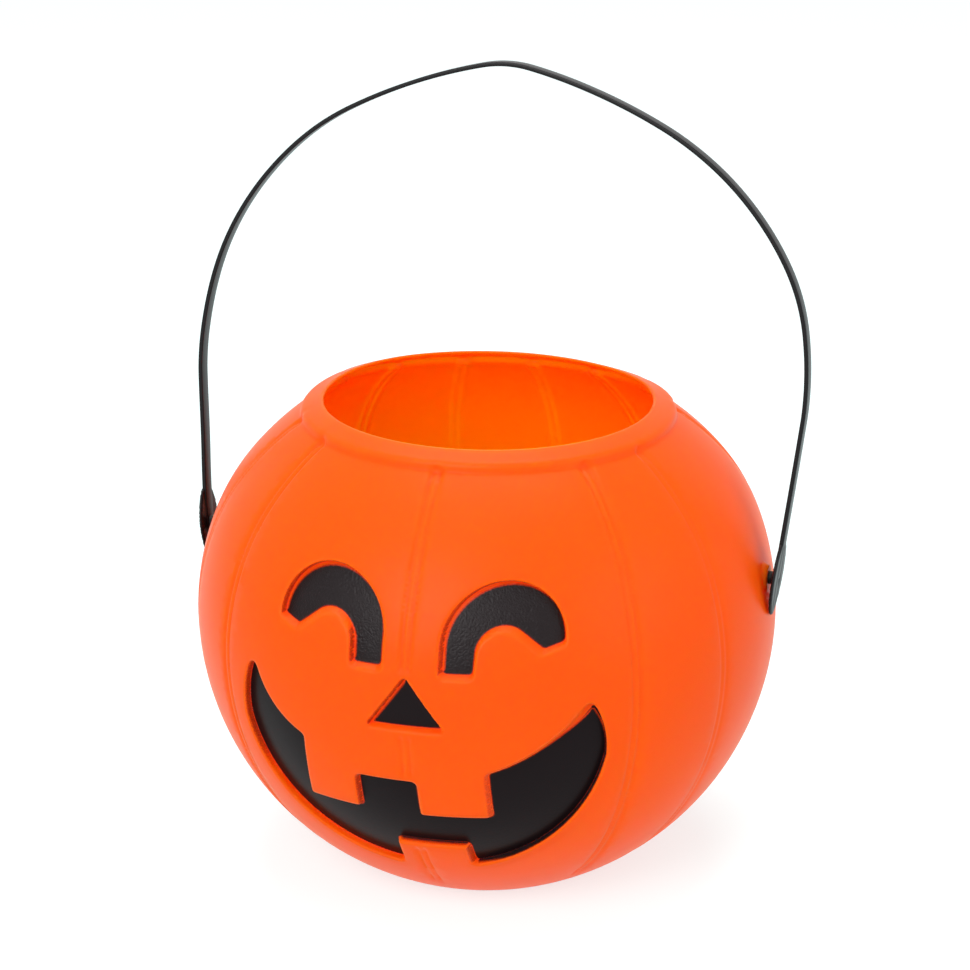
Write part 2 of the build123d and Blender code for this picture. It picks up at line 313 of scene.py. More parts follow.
def along_path(path: np.ndarray, distances: np.ndarray) -> np.ndarray:
    """Points of a path at distances walked along it."""
    walk = walked(path)
    return np.column_stack([np.interp(distances, walk, path[:, k]) for k in (0, 1)])


def trimmed(run: np.ndarray, first_cut: float, last_cut: float) -> np.ndarray:
    """Shortens a run of points at both ends.

    Args:
        run: The points.
        first_cut: Length to take off its start.
        last_cut: Length to take off its end.

    Returns:
        The shorter run.
    """
    walk = walked(run)
    ends = np.array([first_cut, walk[-1] - last_cut])
    between = run[(walk > ends[0] + 1e-6) & (walk < ends[1] - 1e-6)]
    first, last = along_path(run, ends)
    return np.vstack((first, between, last))


def rounded_loop(runs: list[Any], radius: float) -> np.ndarray:
    """Joins runs of points into a closed loop with its corners rounded.

    Args:
        runs: Runs in order, each starting where the one before it ends.
        radius: Radius of the rounding.

    Returns:
        The loop, one row per point.
    """
    runs = [np.asarray(run, float) for run in runs]
    cuts = []
    for before, after in zip(runs[-1:] + runs[:-1], runs):
        back, ahead = before[-2] - before[-1], after[1] - after[0]
        cosine = back @ ahead / (np.linalg.norm(back) * np.linalg.norm(ahead))
        half = math.acos(max(-1.0, min(1.0, cosine))) / 2
        room = CORNER_SHARE * min(np.linalg.norm(run[-1] - run[0]) for run in (before, after))
        cuts.append(min(radius / math.tan(half), room))
    cut = [trimmed(run, cuts[i], cuts[(i + 1) % len(runs)]) for i, run in enumerate(runs)]
    share = np.linspace(0.0, 1.0, CORNER_POINTS)[1:-1, None]
    loop = []
    for i, run in enumerate(cut):
        corner, following = runs[i][-1], cut[(i + 1) % len(cut)][0]
        bend = (1 - share) ** 2 * run[-1] + 2 * share * (1 - share) * corner + share ** 2 * following
        loop += [run, bend]
    return np.vstack(loop)


def signed_distance(points: np.ndarray, loop: np.ndarray) -> tuple[np.ndarray, np.ndarray]:
    """Measures how far points lie outside a closed loop.

    Args:
        points: One row per point.
        loop: Corners of the loop.

    Returns:
        Distance, negative inside, and the unit direction in which it grows.
    """
    start, end = loop, np.roll(loop, -1, axis=0)
    way = end - start
    square = np.maximum((way ** 2).sum(axis=1), 1e-12)
    distances, directions = np.empty(len(points)), np.empty((len(points), 2))
    for low in range(0, len(points), BATCH):
        part = points[low:low + BATCH]
        reach = part[:, None] - start[None]
        share = np.clip((reach * way).sum(axis=2) / square, 0.0, 1.0)
        off = reach - share[..., None] * way
        nearest = (off ** 2).sum(axis=2).argmin(axis=1)
        off = off[np.arange(len(part)), nearest]
        length = np.linalg.norm(off, axis=1)
        above = start[None, :, 1] > part[:, 1, None]
        flip = above != (end[None, :, 1] > part[:, 1, None])
        rise = np.where(way[:, 1] == 0.0, 1.0, way[:, 1])
        crossing = start[:, 0] + (part[:, 1, None] - start[:, 1]) * way[:, 0] / rise
        inside = (flip & (part[:, 0, None] < crossing)).sum(axis=1) % 2 == 1
        sign = np.where(inside, -1.0, 1.0)
        distances[low:low + BATCH] = sign * length
        directions[low:low + BATCH] = sign[:, None] * off / np.maximum(length, 1e-9)[:, None]
    return distances, directions


@dataclass(frozen=True)
class JackFace:
    """Outlines of the recessed face from the front, in mm across the pail and up from its equator."""

    corner_round: float = 1.8
    eye_centre: tuple[float, float] = (28.6, 22.1)
    eye_arch_radius: float = 18.6
    eye_leg_drop: float = 9.7
    eye_leg_width: float = 10.1
    eye_smile_radius: float = 8.3
    eye_smile_drop: float = 2.8
    eye_tip: tuple[float, float] = (12.4, -2.1)
    eyes_shift: float = 1.6
    eyes_tilt: float = 0.4
    nose_half_width: float = 12.5
    nose_base_rise: float = -6.8
    nose_corner_round: float = 0.8
    nose_apex_rise: float = 10.3
    grin_radius: float = 62.5
    grin_centre_rise: float = -4.0
    grin_side_angle: float = 13.0
    grin_tip: tuple[float, float] = (57.4, 3.5)
    grin_tilt: float = 1.5
    grin_side_bulge: float = 1.5
    grin_middle: float = 0.6
    lip_sag: float = 3.4
    lip_end_rise: float = -20.0
    teeth_top_rise: float = -27.5
    teeth_end_rise: float = -41.3
    right_tooth: tuple[float, float] = (2.4, 25.8)
    left_tooth: tuple[float, float] = (-37.6, -18.0)
    lower_tooth: tuple[float, float] = (-8.0, 16.4)
    lower_tooth_top_rise: float = -54.3

    def eye(self, side: int) -> np.ndarray:
        """Arched smiling eye.

        Args:
            side: 1 for the right eye, -1 for the left one.

        Returns:
            The closed outline.
        """
        x, rise = self.eye_centre
        inner, outer = x - self.eye_arch_radius, x + self.eye_arch_radius
        smile = (x, rise - self.eye_smile_drop)
        tip = (x + self.eye_tip[0], rise + self.eye_tip[1])
        reach = (tip[0] - smile[0], tip[1] - smile[1])
        touch = math.atan2(reach[1], reach[0]) + math.acos(self.eye_smile_radius / math.hypot(*reach))
        under = arc(smile, self.eye_smile_radius, touch, math.pi)
        leg_end = rise - self.eye_leg_drop
        leg_outer, leg_inner = (inner + self.eye_leg_width, leg_end), (inner, leg_end)
        runs = [
            [leg_outer, leg_inner],
            [leg_inner, (inner, rise)],
            arc((x, rise), self.eye_arch_radius, math.pi, 0.0),
            [(outer, rise), tip],
            [tip, under[0]],
            under,
            [under[-1], leg_outer],
        ]
        return rounded_loop(runs, self.corner_round) * (side, 1) + (self.eyes_shift, -side * self.eyes_tilt)

    def nose(self) -> np.ndarray:
        """Triangular nose."""
        left, right = ((s * self.nose_half_width, self.nose_base_rise) for s in (-1, 1))
        apex = (0.0, self.nose_apex_rise)
        return rounded_loop([[left, right], [right, apex], [apex, left]], self.nose_corner_round)

    def on_grin(self, x: float) -> tuple[float, float]:
        """Point on the round lower edge of the grin."""
        return x, self.grin_centre_rise - math.sqrt(self.grin_radius ** 2 - x ** 2)

    def mouth(self) -> np.ndarray:
        """Grin with two upper teeth that hang down and one lower tooth that stands up.

        Returns:
            The closed outline.
        """

        def bowed(start: Any, end: Any, bulge: float) -> tuple[float, float]:
            """Point between two points, pushed aside.

            Args:
                start: First point.
                end: Last point.
                bulge: Push to the right of the way from start to end.

            Returns:
                The point.
            """
            way = np.subtract(end, start)
            out = np.array([way[1], -way[0]]) / np.linalg.norm(way)
            return tuple((np.add(start, end)) / 2 + out * bulge)

        side_x = self.grin_radius * math.cos(math.radians(self.grin_side_angle))
        low_left, low_right = (self.on_grin(x) for x in self.lower_tooth)
        left_side, right_side = self.on_grin(-side_x), self.on_grin(side_x)
        right_tip = (self.grin_tip[0], self.grin_tip[1] - self.grin_tilt)
        left_tip = (-self.grin_tip[0], self.grin_tip[1] + self.grin_tilt)
        right_lip = (self.right_tooth[1], self.lip_end_rise - 2 * self.grin_tilt)
        left_lip = (self.left_tooth[0], self.lip_end_rise + 2 * self.grin_tilt)
        corners = [
            right_lip,
            (self.right_tooth[1], self.teeth_end_rise), (self.right_tooth[0], self.teeth_end_rise),
            (self.right_tooth[0], self.teeth_top_rise), (self.left_tooth[1], self.teeth_top_rise),
            (self.left_tooth[1], self.teeth_end_rise), (self.left_tooth[0], self.teeth_end_rise),
            left_lip,
        ]
        stump = [low_left, *((x, self.lower_tooth_top_rise) for x in self.lower_tooth), low_right]
        runs = [
            arc_through(low_right, self.on_grin(self.grin_middle * side_x), right_side),
            arc_through(right_side, bowed(right_side, right_tip, self.grin_side_bulge), right_tip),
            arc_through(right_tip, bowed(right_lip, right_tip, self.lip_sag), right_lip),
            *zip(corners, corners[1:]),
            arc_through(left_lip, bowed(left_tip, left_lip, self.lip_sag), left_tip),
            arc_through(left_tip, bowed(left_tip, left_side, self.grin_side_bulge), left_side),
            arc_through(left_side, self.on_grin(-self.grin_middle * side_x), low_left),
            *zip(stump, stump[1:]),
        ]
        return rounded_loop(runs, self.corner_round)

    def outlines(self) -> dict[FacePart, np.ndarray]:
        """Closed outline of every part of the face."""
        return {
            FacePart.LEFT_EYE: self.eye(-1),
            FacePart.RIGHT_EYE: self.eye(1),
            FacePart.NOSE: self.nose(),
            FacePart.MOUTH: self.mouth(),
        }


# Finishes


@dataclass(frozen=True)
class BlownPolyethylene:
    """Orange polyethylene, blow moulded, with some of the face's black spray on it, and painted shade on some recess
    walls.
    """

    name: str = "orange_polyethylene_blow_moulded"
    slot: str = "shell_plastic"
    colour: str = "FF5208"
    mist_and_shade_colour: str = "171113"
    roughness: float = 0.38
    specular: float = 0.08
    glow: float = 0.9
    glow_depth: float = 10.0
    glow_reach: tuple[float, float, float] = (1.2, 0.9, 0.03)
    ripple_width: float = 9.0
    ripple_height: float = 0.05
    # Spray dries in specks of about 0.1 mm; they are drawn coarser here, so that they show
    speck_width: float = 0.45
    speck_share: float = 0.25
    spray_and_shade_edge: tuple[float, float] = (0.3, 0.85)

    def material(self) -> bpy.types.Material:
        """Builds the material: mould ripple, black spray that thins out in specks on the mouth's walls, and painted
        wall shade.

        Returns:
            The material.
        """
        # Gives the eye a waxy, half glossy skin, and light glows a little through the wall
        made, tree = start_material(self.name)
        place = add_node(tree, "ShaderNodeTexCoord").outputs["Object"]
        # Metres times this many waves per metre
        ripple = add_node(tree, "ShaderNodeTexNoise",
                          {"Vector": place, "Scale": 1 / (self.ripple_width * MM), "Detail": 2.0})
        bump = add_node(tree, "ShaderNodeBump",
                        {"Height": ripple.outputs[0], "Distance": self.ripple_height * MM, "Strength": 0.5})
        specks = add_node(tree, "ShaderNodeTexNoise",
                          {"Vector": place, "Scale": 1 / (self.speck_width * MM), "Detail": 1.0})
        # Share of black spray on the mouth's walls, together with painted shade on recess walls that face the lower
        # right
        spray = add_node(tree, "ShaderNodeAttribute", attribute_name="overspray_and_wall_shade").outputs["Fac"]
        edge = add_node(tree, "ShaderNodeMath", {0: specks.outputs[0], 1: self.speck_share, 2: spray},
                        operation="MULTIPLY_ADD")
        low, high = self.spray_and_shade_edge
        cover = add_node(tree, "ShaderNodeMapRange", {"Value": edge.outputs[0], "From Min": low, "From Max": high},
                         interpolation_type="SMOOTHSTEP")
        colour = add_node(tree, "ShaderNodeMix", {0: cover.outputs[0], 6: linear(self.colour), 7: linear(self.mist_and_shade_colour)},
                          data_type="RGBA")
        plug(tree, tree.nodes["Principled BSDF"], {
            "Base Color": colour.outputs[2], "Normal": bump.outputs[0], "Roughness": self.roughness,
            "Specular IOR Level": self.specular, "Subsurface Weight": self.glow,
            "Subsurface Radius": self.glow_reach, "Subsurface Scale": self.glow_depth * MM,
        })
        return made


@dataclass(frozen=True)
class SprayedPaint:
    """Black lacquer, sprayed through a mask."""

    name: str = "black_lacquer_sprayed"
    slot: str = "face_paint"
    colour: str = "160D0F"
    thin_colour: str = "E03C08"
    roughness: float = 0.3
    specular: float = 0.05
    pebble_specular: float = 0.16
    pebble_width: float = 0.7
    pebble_height: float = 0.3
    # Drawn coarser than real spray, so that the specks show
    speck_width: float = 0.5
    speck_share: float = 0.4
    edge: tuple[float, float] = (-0.3, 0.45)

    def material(self, coat: Coat) -> bpy.types.Material:
        """Builds the material: a pebbled surface and a soft edge that lets the orange through.

        Args:
            coat: How the paint dried; the more pebbled, the shinier.

        Returns:
            The material.
        """
        # Gives the eye a deep black that is thick and glossy in the middle, and thin and speckled at its edge
        made, tree = start_material(self.name + "_" + coat.name.lower())
        place = add_node(tree, "ShaderNodeTexCoord").outputs["Object"]
        pebbles = add_node(tree, "ShaderNodeTexNoise",
                           {"Vector": place, "Scale": 1 / (self.pebble_width * MM), "Detail": 2.0})
        bump = add_node(tree, "ShaderNodeBump",
                        {"Height": pebbles.outputs[0], "Distance": self.pebble_height * MM, "Strength": coat.value})
        specks = add_node(tree, "ShaderNodeTexNoise",
                          {"Vector": place, "Scale": 1 / (self.speck_width * MM), "Detail": 1.0})
        inside = add_node(tree, "ShaderNodeAttribute", attribute_name="paint_depth").outputs["Fac"]
        depth = add_node(tree, "ShaderNodeMath", {0: specks.outputs[0], 1: self.speck_share, 2: inside},
                         operation="MULTIPLY_ADD")
        low, high = self.edge
        cover = add_node(tree, "ShaderNodeMapRange", {"Value": depth.outputs[0], "From Min": low, "From Max": high},
                         interpolation_type="SMOOTHSTEP")
        colour = add_node(tree, "ShaderNodeMix",
                          {0: cover.outputs[0], 6: linear(self.thin_colour), 7: linear(self.colour)}, data_type="RGBA")
        plug(tree, tree.nodes["Principled BSDF"], {
            "Base Color": colour.outputs[2], "Normal": bump.outputs[0], "Roughness": self.roughness,
            "Specular IOR Level": self.specular + (self.pebble_specular - self.specular) * coat.value,
        })
        return made


@dataclass(frozen=True)
class MouldedPolypropylene:
    """Black polypropylene, injection moulded."""

    name: str = "black_polypropylene_moulded"
    slot: str = "strap_plastic"
    colour: str = "100E10"
    roughness: float = 0.36
    specular: float = 0.17
    # A mould's own grain is nearer 0.1 mm; it is drawn coarser here, so that it shows
    grain_width: float = 0.8
    grain_height: float = 0.03

    def material(self) -> bpy.types.Material:
        """Builds the material: one colour and a faint mould grain.

        Returns:
            The material.
        """
        # Gives the eye a satin skin that greys where light grazes it
        made, tree = start_material(self.name)
        place = add_node(tree, "ShaderNodeTexCoord").outputs["Object"]
        grain = add_node(tree, "ShaderNodeTexNoise",
                         {"Vector": place, "Scale": 1 / (self.grain_width * MM), "Detail": 2.0})
        bump = add_node(tree, "ShaderNodeBump",
                        {"Height": grain.outputs[0], "Distance": self.grain_height * MM, "Strength": 0.5})
        plug(tree, tree.nodes["Principled BSDF"], {
            "Base Color": linear(self.colour), "Normal": bump.outputs[0], "Roughness": self.roughness,
            "Specular IOR Level": self.specular,
        })
        return made


# The pail


@dataclass
class Meridian:
    """Half section of the blown wall, walked from the standing ring up the outside and down the inside, in mm."""

    globe_radius: float = 100.0
    equator_height: float = 90.5
    side_round: float = 78.0
    side_turn: float = math.radians(40.0)
    base_edge_round: float = 10.0
    ring_radius: float = 36.5
    collar_foot_radius: float = 62.0
    collar_shoulder: tuple[tuple[float, float], ...] = ((0.1, 1.8), (-1.4, 3.3))
    collar_lip: tuple[float, float] = (-7.0, 5.5)
    wall: float = 1.5
    lip_wall: float = 1.1
    step: float = 0.25
    softening: float = 0.45
    lip_thinning: tuple[float, float] = (6.0, 0.5)
    lip_points: int = 9

    def __post_init__(self) -> None:
        """Walks the section and measures it."""
        outer = self._outer()
        along = np.gradient(outer, axis=0)
        along /= np.linalg.norm(along, axis=1)[:, None]
        out = np.column_stack((along[:, 1], -along[:, 0]))
        from_lip = np.arange(len(outer))[::-1] * self.step
        wall = self.wall + (self.lip_wall - self.wall) * smooth_step(*self.lip_thinning, from_lip)
        inner = (outer - wall[:, None] * out)[::-1]
        bend = np.linspace(0.0, math.pi, self.lip_points)[1:-1, None]
        middle = outer[-1] - 0.5 * self.lip_wall * out[-1]
        edge = middle + 0.5 * self.lip_wall * (np.cos(bend) * out[-1] + np.sin(bend) * along[-1])
        points = self._respaced(np.vstack((outer, edge, inner)), self.step)
        self.lip_walk = len(outer) * self.step + 0.25 * math.pi * self.lip_wall
        self.walk = np.arange(len(points)) * self.step
        self.radius, self.height = points.T
        heading = np.gradient(points, axis=0)
        heading /= np.linalg.norm(heading, axis=1)[:, None]
        self.out_radius, self.out_height = heading[:, 1], -heading[:, 0]
        rise = self.step / self.radius
        self.rise = np.concatenate(([0.0], np.cumsum(0.5 * (rise[1:] + rise[:-1]))))

    def _outer(self) -> np.ndarray:
        """Outside of the wall, with its creases softened.

        Returns:
            Radius and height on each row.
        """
        ball = (0.0, self.equator_height)
        inset = self.globe_radius - self.base_edge_round
        edge_out = math.sqrt(inset ** 2 - (self.equator_height - self.base_edge_round) ** 2)
        edge_turn = -math.acos(edge_out / inset)
        side = (self.globe_radius - self.side_round, self.equator_height)
        crown = (0.0, self.equator_height - side[0] * math.tan(self.side_turn))
        crown_round = self.side_round + side[0] / math.cos(self.side_turn)
        foot_turn = math.acos(self.collar_foot_radius / crown_round)
        foot = np.array([self.collar_foot_radius, crown[1] + crown_round * math.sin(foot_turn)])
        self.foot_height = float(foot[1])
        path = np.vstack((
            [(self.ring_radius, 0.0)],
            arc((edge_out, self.base_edge_round), self.base_edge_round, -math.pi / 2, edge_turn, self.step),
            arc(ball, self.globe_radius, edge_turn, 0.0, self.step)[1:],
            arc(side, self.side_round, 0.0, self.side_turn, self.step)[1:],
            arc(crown, crown_round, self.side_turn, foot_turn, self.step)[1:],
            arc_through(foot, *(foot + place for place in self.collar_shoulder), self.step)[1:],
            [foot + self.collar_lip],
        ))
        path = self._respaced(path, self.step)
        reach = int(4 * self.softening / self.step)
        weight = np.exp(-0.5 * (np.arange(-reach, reach + 1) * self.step / self.softening) ** 2)
        weight /= weight.sum()
        before, after = 2 * path[0] - path[reach:0:-1], 2 * path[-1] - path[-2:-reach - 2:-1]
        padded = np.vstack((before, path, after))
        return np.column_stack([np.convolve(padded[:, k], weight, "valid") for k in (0, 1)])

    @staticmethod
    def _respaced(path: np.ndarray, step: float) -> np.ndarray:
        """Path with its points at even steps."""
        return along_path(path, np.arange(0.0, walked(path)[-1], step))

    def at_rise(self, rise: np.ndarray) -> dict[str, np.ndarray]:
        """Looks up the section at places on the flat sheet.

        Args:
            rise: Flat rise of each place.

        Returns:
            Walk, radius and height, and the way out of the wall.
        """
        found = {key: np.interp(rise, self.rise, getattr(self, key))
                 for key in ("walk", "radius", "height", "out_radius", "out_height")}
        found["outside"] = found["walk"] < self.lip_walk
        return found

    def rise_at_height(self, height: np.ndarray) -> np.ndarray:
        """Flat rise of places on the outside of the wall, from their heights."""
        outer = self.walk < self.lip_walk - 2.0
        return np.interp(height, self.height[outer], self.rise[outer])


@dataclass
class PailShell:
    """Blow-moulded globe with its collar, grooves, recessed face, hinge bosses and pushed-up base, in mm."""

    finish: BlownPolyethylene
    face: JackFace = field(default_factory=JackFace)
    section: Meridian = field(default_factory=Meridian)
    groove_positions: int = 16
    groove_strengths: tuple[float, ...] = (1, 0, 1, 0.6, 0, 1, 1, 1, 1, 1, 1, 1, 0, 0.6, 1, 0)
    groove_half_width: float = 2.9
    groove_section: tuple[tuple[float, float], ...] = ((0.0, 0.3), (0.2, 0.42), (0.42, 1.0), (0.68, 0.45), (1.0, 0.0))
    groove_depth: float = 0.8
    inner_share: float = 0.75
    groove_ends: tuple[float, float] = (9.0, 15.0)
    dent_radius: float = 2.0
    dent_depth: float = 0.9
    recess_depth: float = 3.0
    rim_round: float = 1.6
    floor_round: float = 0.45
    floor_inset: float = 0.4
    draft: float = math.radians(12.0)
    halo: tuple[tuple[float, float], ...] = ((-1.6, 0.0), (-0.8, 0.06))
    paint_slip: tuple[float, float] = (-0.75, 1.0)
    nose_slip: float = 0.6
    bare_tip: tuple[float, float] = (3.2, 12.0)
    # Way the black spray travelled across the face; recess walls that face this same way get painted shade
    spray_and_shade_way: tuple[float, float] = (0.75, -0.66)
    # Strength of the painted shade on those walls
    painted_wall_shade: float = 0.5
    mouth_oval: float = 0.026
    back_fullness: float = 0.03
    hinge_height: float = 109.5
    boss_radius: float = 4.4
    boss_reach: float = 99.0
    hole_radius: float = 2.26
    push_up: tuple[tuple[float, float], ...] = ((34.5, 0.0), (33.2, 0.1), (32.0, 0.6), (29.0, 2.4), (27.8, 2.9),
                                                (26.0, 3.0), (13.0, 3.0))
    finest: float = 0.0056
    ring_count: int = 128
    hole_count: int = 24
    # The face lies within this turn of the front, and this distance stands for nowhere near it
    front_turn: float = 1.0
    far: float = 99.0
    chart_low: tuple[float, float] = (-72.0, -80.0)
    chart_step: float = 1.0
    chart_shape: tuple[int, int] = (145, 141)
    # Triangle edges outside and inside: on plain wall, along grooves, on the collar and round the face
    plain_edges: tuple[float, float] = (3.2, 4.4)
    groove_edges: tuple[float, float] = (1.05, 1.3)
    collar_edges: tuple[float, float] = (1.0, 1.7)
    face_edges: tuple[float, float] = (0.56, 1.7)
    hinge_edge: float = 0.65
    base_edge: float = 2.0
    collar_from: float = 156.5
    face_band: float = 2.4
    # How far from a line of a groove or of a recess a place is still moved onto it
    groove_snap: float = 3.3
    recess_snap: float = 3.8
    longest_snap: float = 0.36

    def __post_init__(self) -> None:
        """Samples the face outlines, the recess profile and a chart of distances to the face."""
        self.loops = self.face.outlines()
        lean = math.pi / 2 - self.draft
        rim, floor = np.linspace(0.0, lean, 12), np.linspace(lean, 0.0, 10)
        rim_in, rim_down = self.rim_round * np.sin(rim), self.rim_round * (1 - np.cos(rim))
        floor_in = self.floor_round * (math.sin(lean) - np.sin(floor))
        floor_down = self.recess_depth - self.floor_round * (1 - np.cos(floor))
        wall_in = rim_in[-1] + (floor_down[0] - rim_down[-1]) / math.tan(lean)
        halo_in, halo_down = np.array(self.halo).T
        self.profile_in = np.concatenate((halo_in, rim_in, wall_in + floor_in))
        self.profile_down = np.concatenate((halo_down, np.maximum(rim_down, halo_down[-1]), floor_down))
        self.profile_shift = self.profile_in[-1] - self.floor_inset
        ticks = (np.arange(n) * self.chart_step for n in self.chart_shape)
        spots = np.stack(np.meshgrid(*ticks, indexing="ij"), axis=-1).reshape(-1, 2) + self.chart_low
        chart = [signed_distance(spots, loop)[0] for loop in self.loops.values()]
        self.chart = np.min(chart, axis=0).reshape(self.chart_shape)

    # Laying out the flat sheet

    def _chart_distance(self, x: np.ndarray, rise: np.ndarray) -> np.ndarray:
        """Looks up the rough distance to the face.

        Args:
            x: Places across the pail.
            rise: Their heights above the equator.

        Returns:
            Distances, negative inside.
        """
        spot = (np.column_stack((x, rise)) - self.chart_low) / self.chart_step
        size = np.array(self.chart_shape) - 1
        column, row = np.clip(np.rint(spot), 0, size).astype(int).T
        return self.chart[column, row]

    def _groove_offset(self, turn: np.ndarray) -> tuple[np.ndarray, np.ndarray]:
        """Finds the nearest groove place.

        Args:
            turn: Angles from the front.

        Returns:
            Angles from the nearest groove place, and that groove's strength.
        """
        step = math.tau / self.groove_positions
        number = np.rint(turn / step).astype(int)
        return turn - number * step, np.asarray(self.groove_strengths)[number % self.groove_positions]

    def _hinge_distance(self, turn: np.ndarray, radius: np.ndarray, height: np.ndarray) -> np.ndarray:
        """Distance from the hinge line."""
        return np.hypot(radius * np.cos(turn), height - self.hinge_height)

    def _edge_wanted(self, turn: np.ndarray, rise: np.ndarray) -> np.ndarray:
        """Length of triangle edge wanted at places of the flat sheet.

        Args:
            turn: Angle from the front, in radians.
            rise: Flat rise.

        Returns:
            Edge length as a share of the radius there.
        """
        spot = self.section.at_rise(rise)
        radius, height, outside = spot["radius"], spot["height"], spot["outside"]
        edge = np.where(outside, *self.plain_edges)
        offset, strength = self._groove_offset(turn)
        near = (np.abs(offset) * radius < self.groove_half_width + 0.5) & (strength > 0)
        outer, inner = self.groove_edges
        edge = np.where(near & outside & (height > 6.0), np.minimum(edge, outer), edge)
        # Inside, only the back of the upper wall is in view
        seen = ~outside & (np.abs(turn) > 1.8) & (height > 100.0)
        edge = np.where(near & seen, np.minimum(edge, inner), edge)
        below = np.maximum(0.0, self.collar_from - height)
        edge = np.minimum(edge, np.where(outside, *self.collar_edges) + 0.3 * below)
        edge = np.minimum(edge, self.base_edge + 0.4 * height)
        hinge = self._hinge_distance(turn, radius, height)
        edge = np.minimum(edge, self.hinge_edge + 0.35 * np.maximum(0.0, hinge - 6.0))
        front = np.abs(turn) < self.front_turn
        away = self._chart_distance(radius * np.sin(turn), height - self.section.equator_height)
        outer, inner = self.face_edges
        close = np.where(outside, outer + 0.28 * np.maximum(0.0, np.abs(away) - self.face_band),
                         inner + 0.4 * np.maximum(0.0, np.abs(away - self.section.wall) - self.face_band))
        edge = np.where(front, np.minimum(edge, close), edge)
        return edge / radius

    def _snapped(self, turn: np.ndarray, rise: np.ndarray) -> tuple[np.ndarray, np.ndarray]:
        """Moves places beside an outline or a groove onto the lines where the surface bends.

        Args:
            turn: Angle from the front of each place.
            rise: Flat rise of each place.

        Returns:
            The moved angles and rises.
        """
        turn, rise = turn.copy(), rise.copy()
        spot = self.section.at_rise(rise)
        radius, height = spot["radius"], spot["height"]
        offset, strength = self._groove_offset(turn)
        across = np.abs(offset) * radius
        lines = self.groove_half_width * np.array(self.groove_section)[:, 0]
        line = lines[np.abs(across[:, None] - lines).argmin(axis=1)]
        away = self._chart_distance(radius * np.sin(turn), height - self.section.equator_height)
        beside = (strength > 0) & (across < self.groove_snap) & spot["outside"]
        beside &= (away > self.recess_snap) & (height < self.section.foot_height)
        turn[beside] += (np.sign(offset) * (line - across) / radius)[beside]
        near = np.flatnonzero(spot["outside"] & (np.abs(turn) < self.front_turn) & (np.abs(away) < self.recess_snap))
        flat = np.column_stack((radius * np.sin(turn), height - self.section.equator_height))[near]
        found = [signed_distance(flat, loop) for loop in self.loops.values()]
        which = np.argmin([distance for distance, _ in found], axis=0)
        distance = np.choose(which, [d for d, _ in found])
        way = np.stack([w for _, w in found])[which, np.arange(len(near))]
        bends = self.profile_shift - self.profile_in[[0, 1, 2, 5, 8, 11, 13, 14, 18, 23]]
        bend = bends[np.abs(distance[:, None] - bends).argmin(axis=1)]
        pull = np.where(np.abs(bend - distance) < self.longest_snap, bend - distance, 0.0)
        flat = flat + way * pull[:, None]
        rise[near] = self.section.rise_at_height(flat[:, 1] + self.section.equator_height)
        turn[near] = np.arcsin(np.clip(flat[:, 0] / self.section.at_rise(rise[near])["radius"], -1.0, 1.0))
        return turn, rise

    def _hole_ring(self, side: int, outside: bool) -> np.ndarray:
        """Ring of places round a peg hole on one skin of the flat sheet.

        Args:
            side: 1 for the right hole, -1 for the left one.
            outside: True for the outer skin.

        Returns:
            Turn and rise on each row.
        """
        angle = np.arange(self.hole_count) * math.tau / self.hole_count
        y, height = self.hole_radius * np.cos(angle), self.hinge_height + self.hole_radius * np.sin(angle)
        skin = (self.section.walk < self.section.lip_walk) == outside
        order = np.argsort(self.section.height[skin], kind="stable")
        rise = np.interp(height, self.section.height[skin][order], self.section.rise[skin][order])
        radius = np.interp(rise, self.section.rise, self.section.radius)
        return np.column_stack((side * np.arccos(-y / radius), rise))

    def _flat_places(self) -> tuple[np.ndarray, list[np.ndarray]]:
        """Scatters places over the flat sheet, close together where the surface bends.

        Returns:
            All places, edges of the sheet first, and the four rings of the peg holes as numbers of places.
        """
        top = self.section.rise[-1]
        rows = [0.0]
        while rows[-1] < top:
            rows.append(rows[-1] + float(self._edge_wanted(np.array([math.pi]), np.array([rows[-1]]))[0]))
        rows = np.array(rows) * top / rows[-1]
        columns = np.linspace(-math.pi, math.pi, self.ring_count + 1)
        self.seam_rows = len(rows)
        fixed = [np.column_stack((np.full(len(rows), s * math.pi), rows)) for s in (-1, 1)]
        fixed += [np.column_stack((columns[1:-1], np.full(self.ring_count - 1, r))) for r in (0.0, top)]
        start = sum(len(run) for run in fixed)
        rings = []
        for side in (-1, 1):
            for outside in (True, False):
                fixed.append(self._hole_ring(side, outside))
                rings.append(np.arange(start, start + self.hole_count))
                start += self.hole_count
        places = np.vstack(fixed)
        size = self.finest
        while size < 0.2:
            columns = np.arange(-math.pi + size, math.pi - 0.5 * size, size)
            levels = np.arange(0.5 * size, top - 0.3 * size, size * math.sqrt(0.75))
            turn, rise = np.meshgrid(columns, levels)
            turn[1::2] += 0.5 * size
            turn, rise = turn.ravel(), rise.ravel()
            inside = (np.abs(turn) < math.pi - 0.4 * size) & (rise > 0.4 * size)
            turn, rise = turn[inside], rise[inside]
            wanted = self._edge_wanted(turn, rise)
            fits = (wanted >= size) & (wanted < size * math.sqrt(2.0))
            turn, rise = self._snapped(turn[fits], rise[fits])
            places = np.vstack((places, self._thinned(np.column_stack((turn, rise)), places, size)))
            size *= math.sqrt(2.0)
        return places, rings

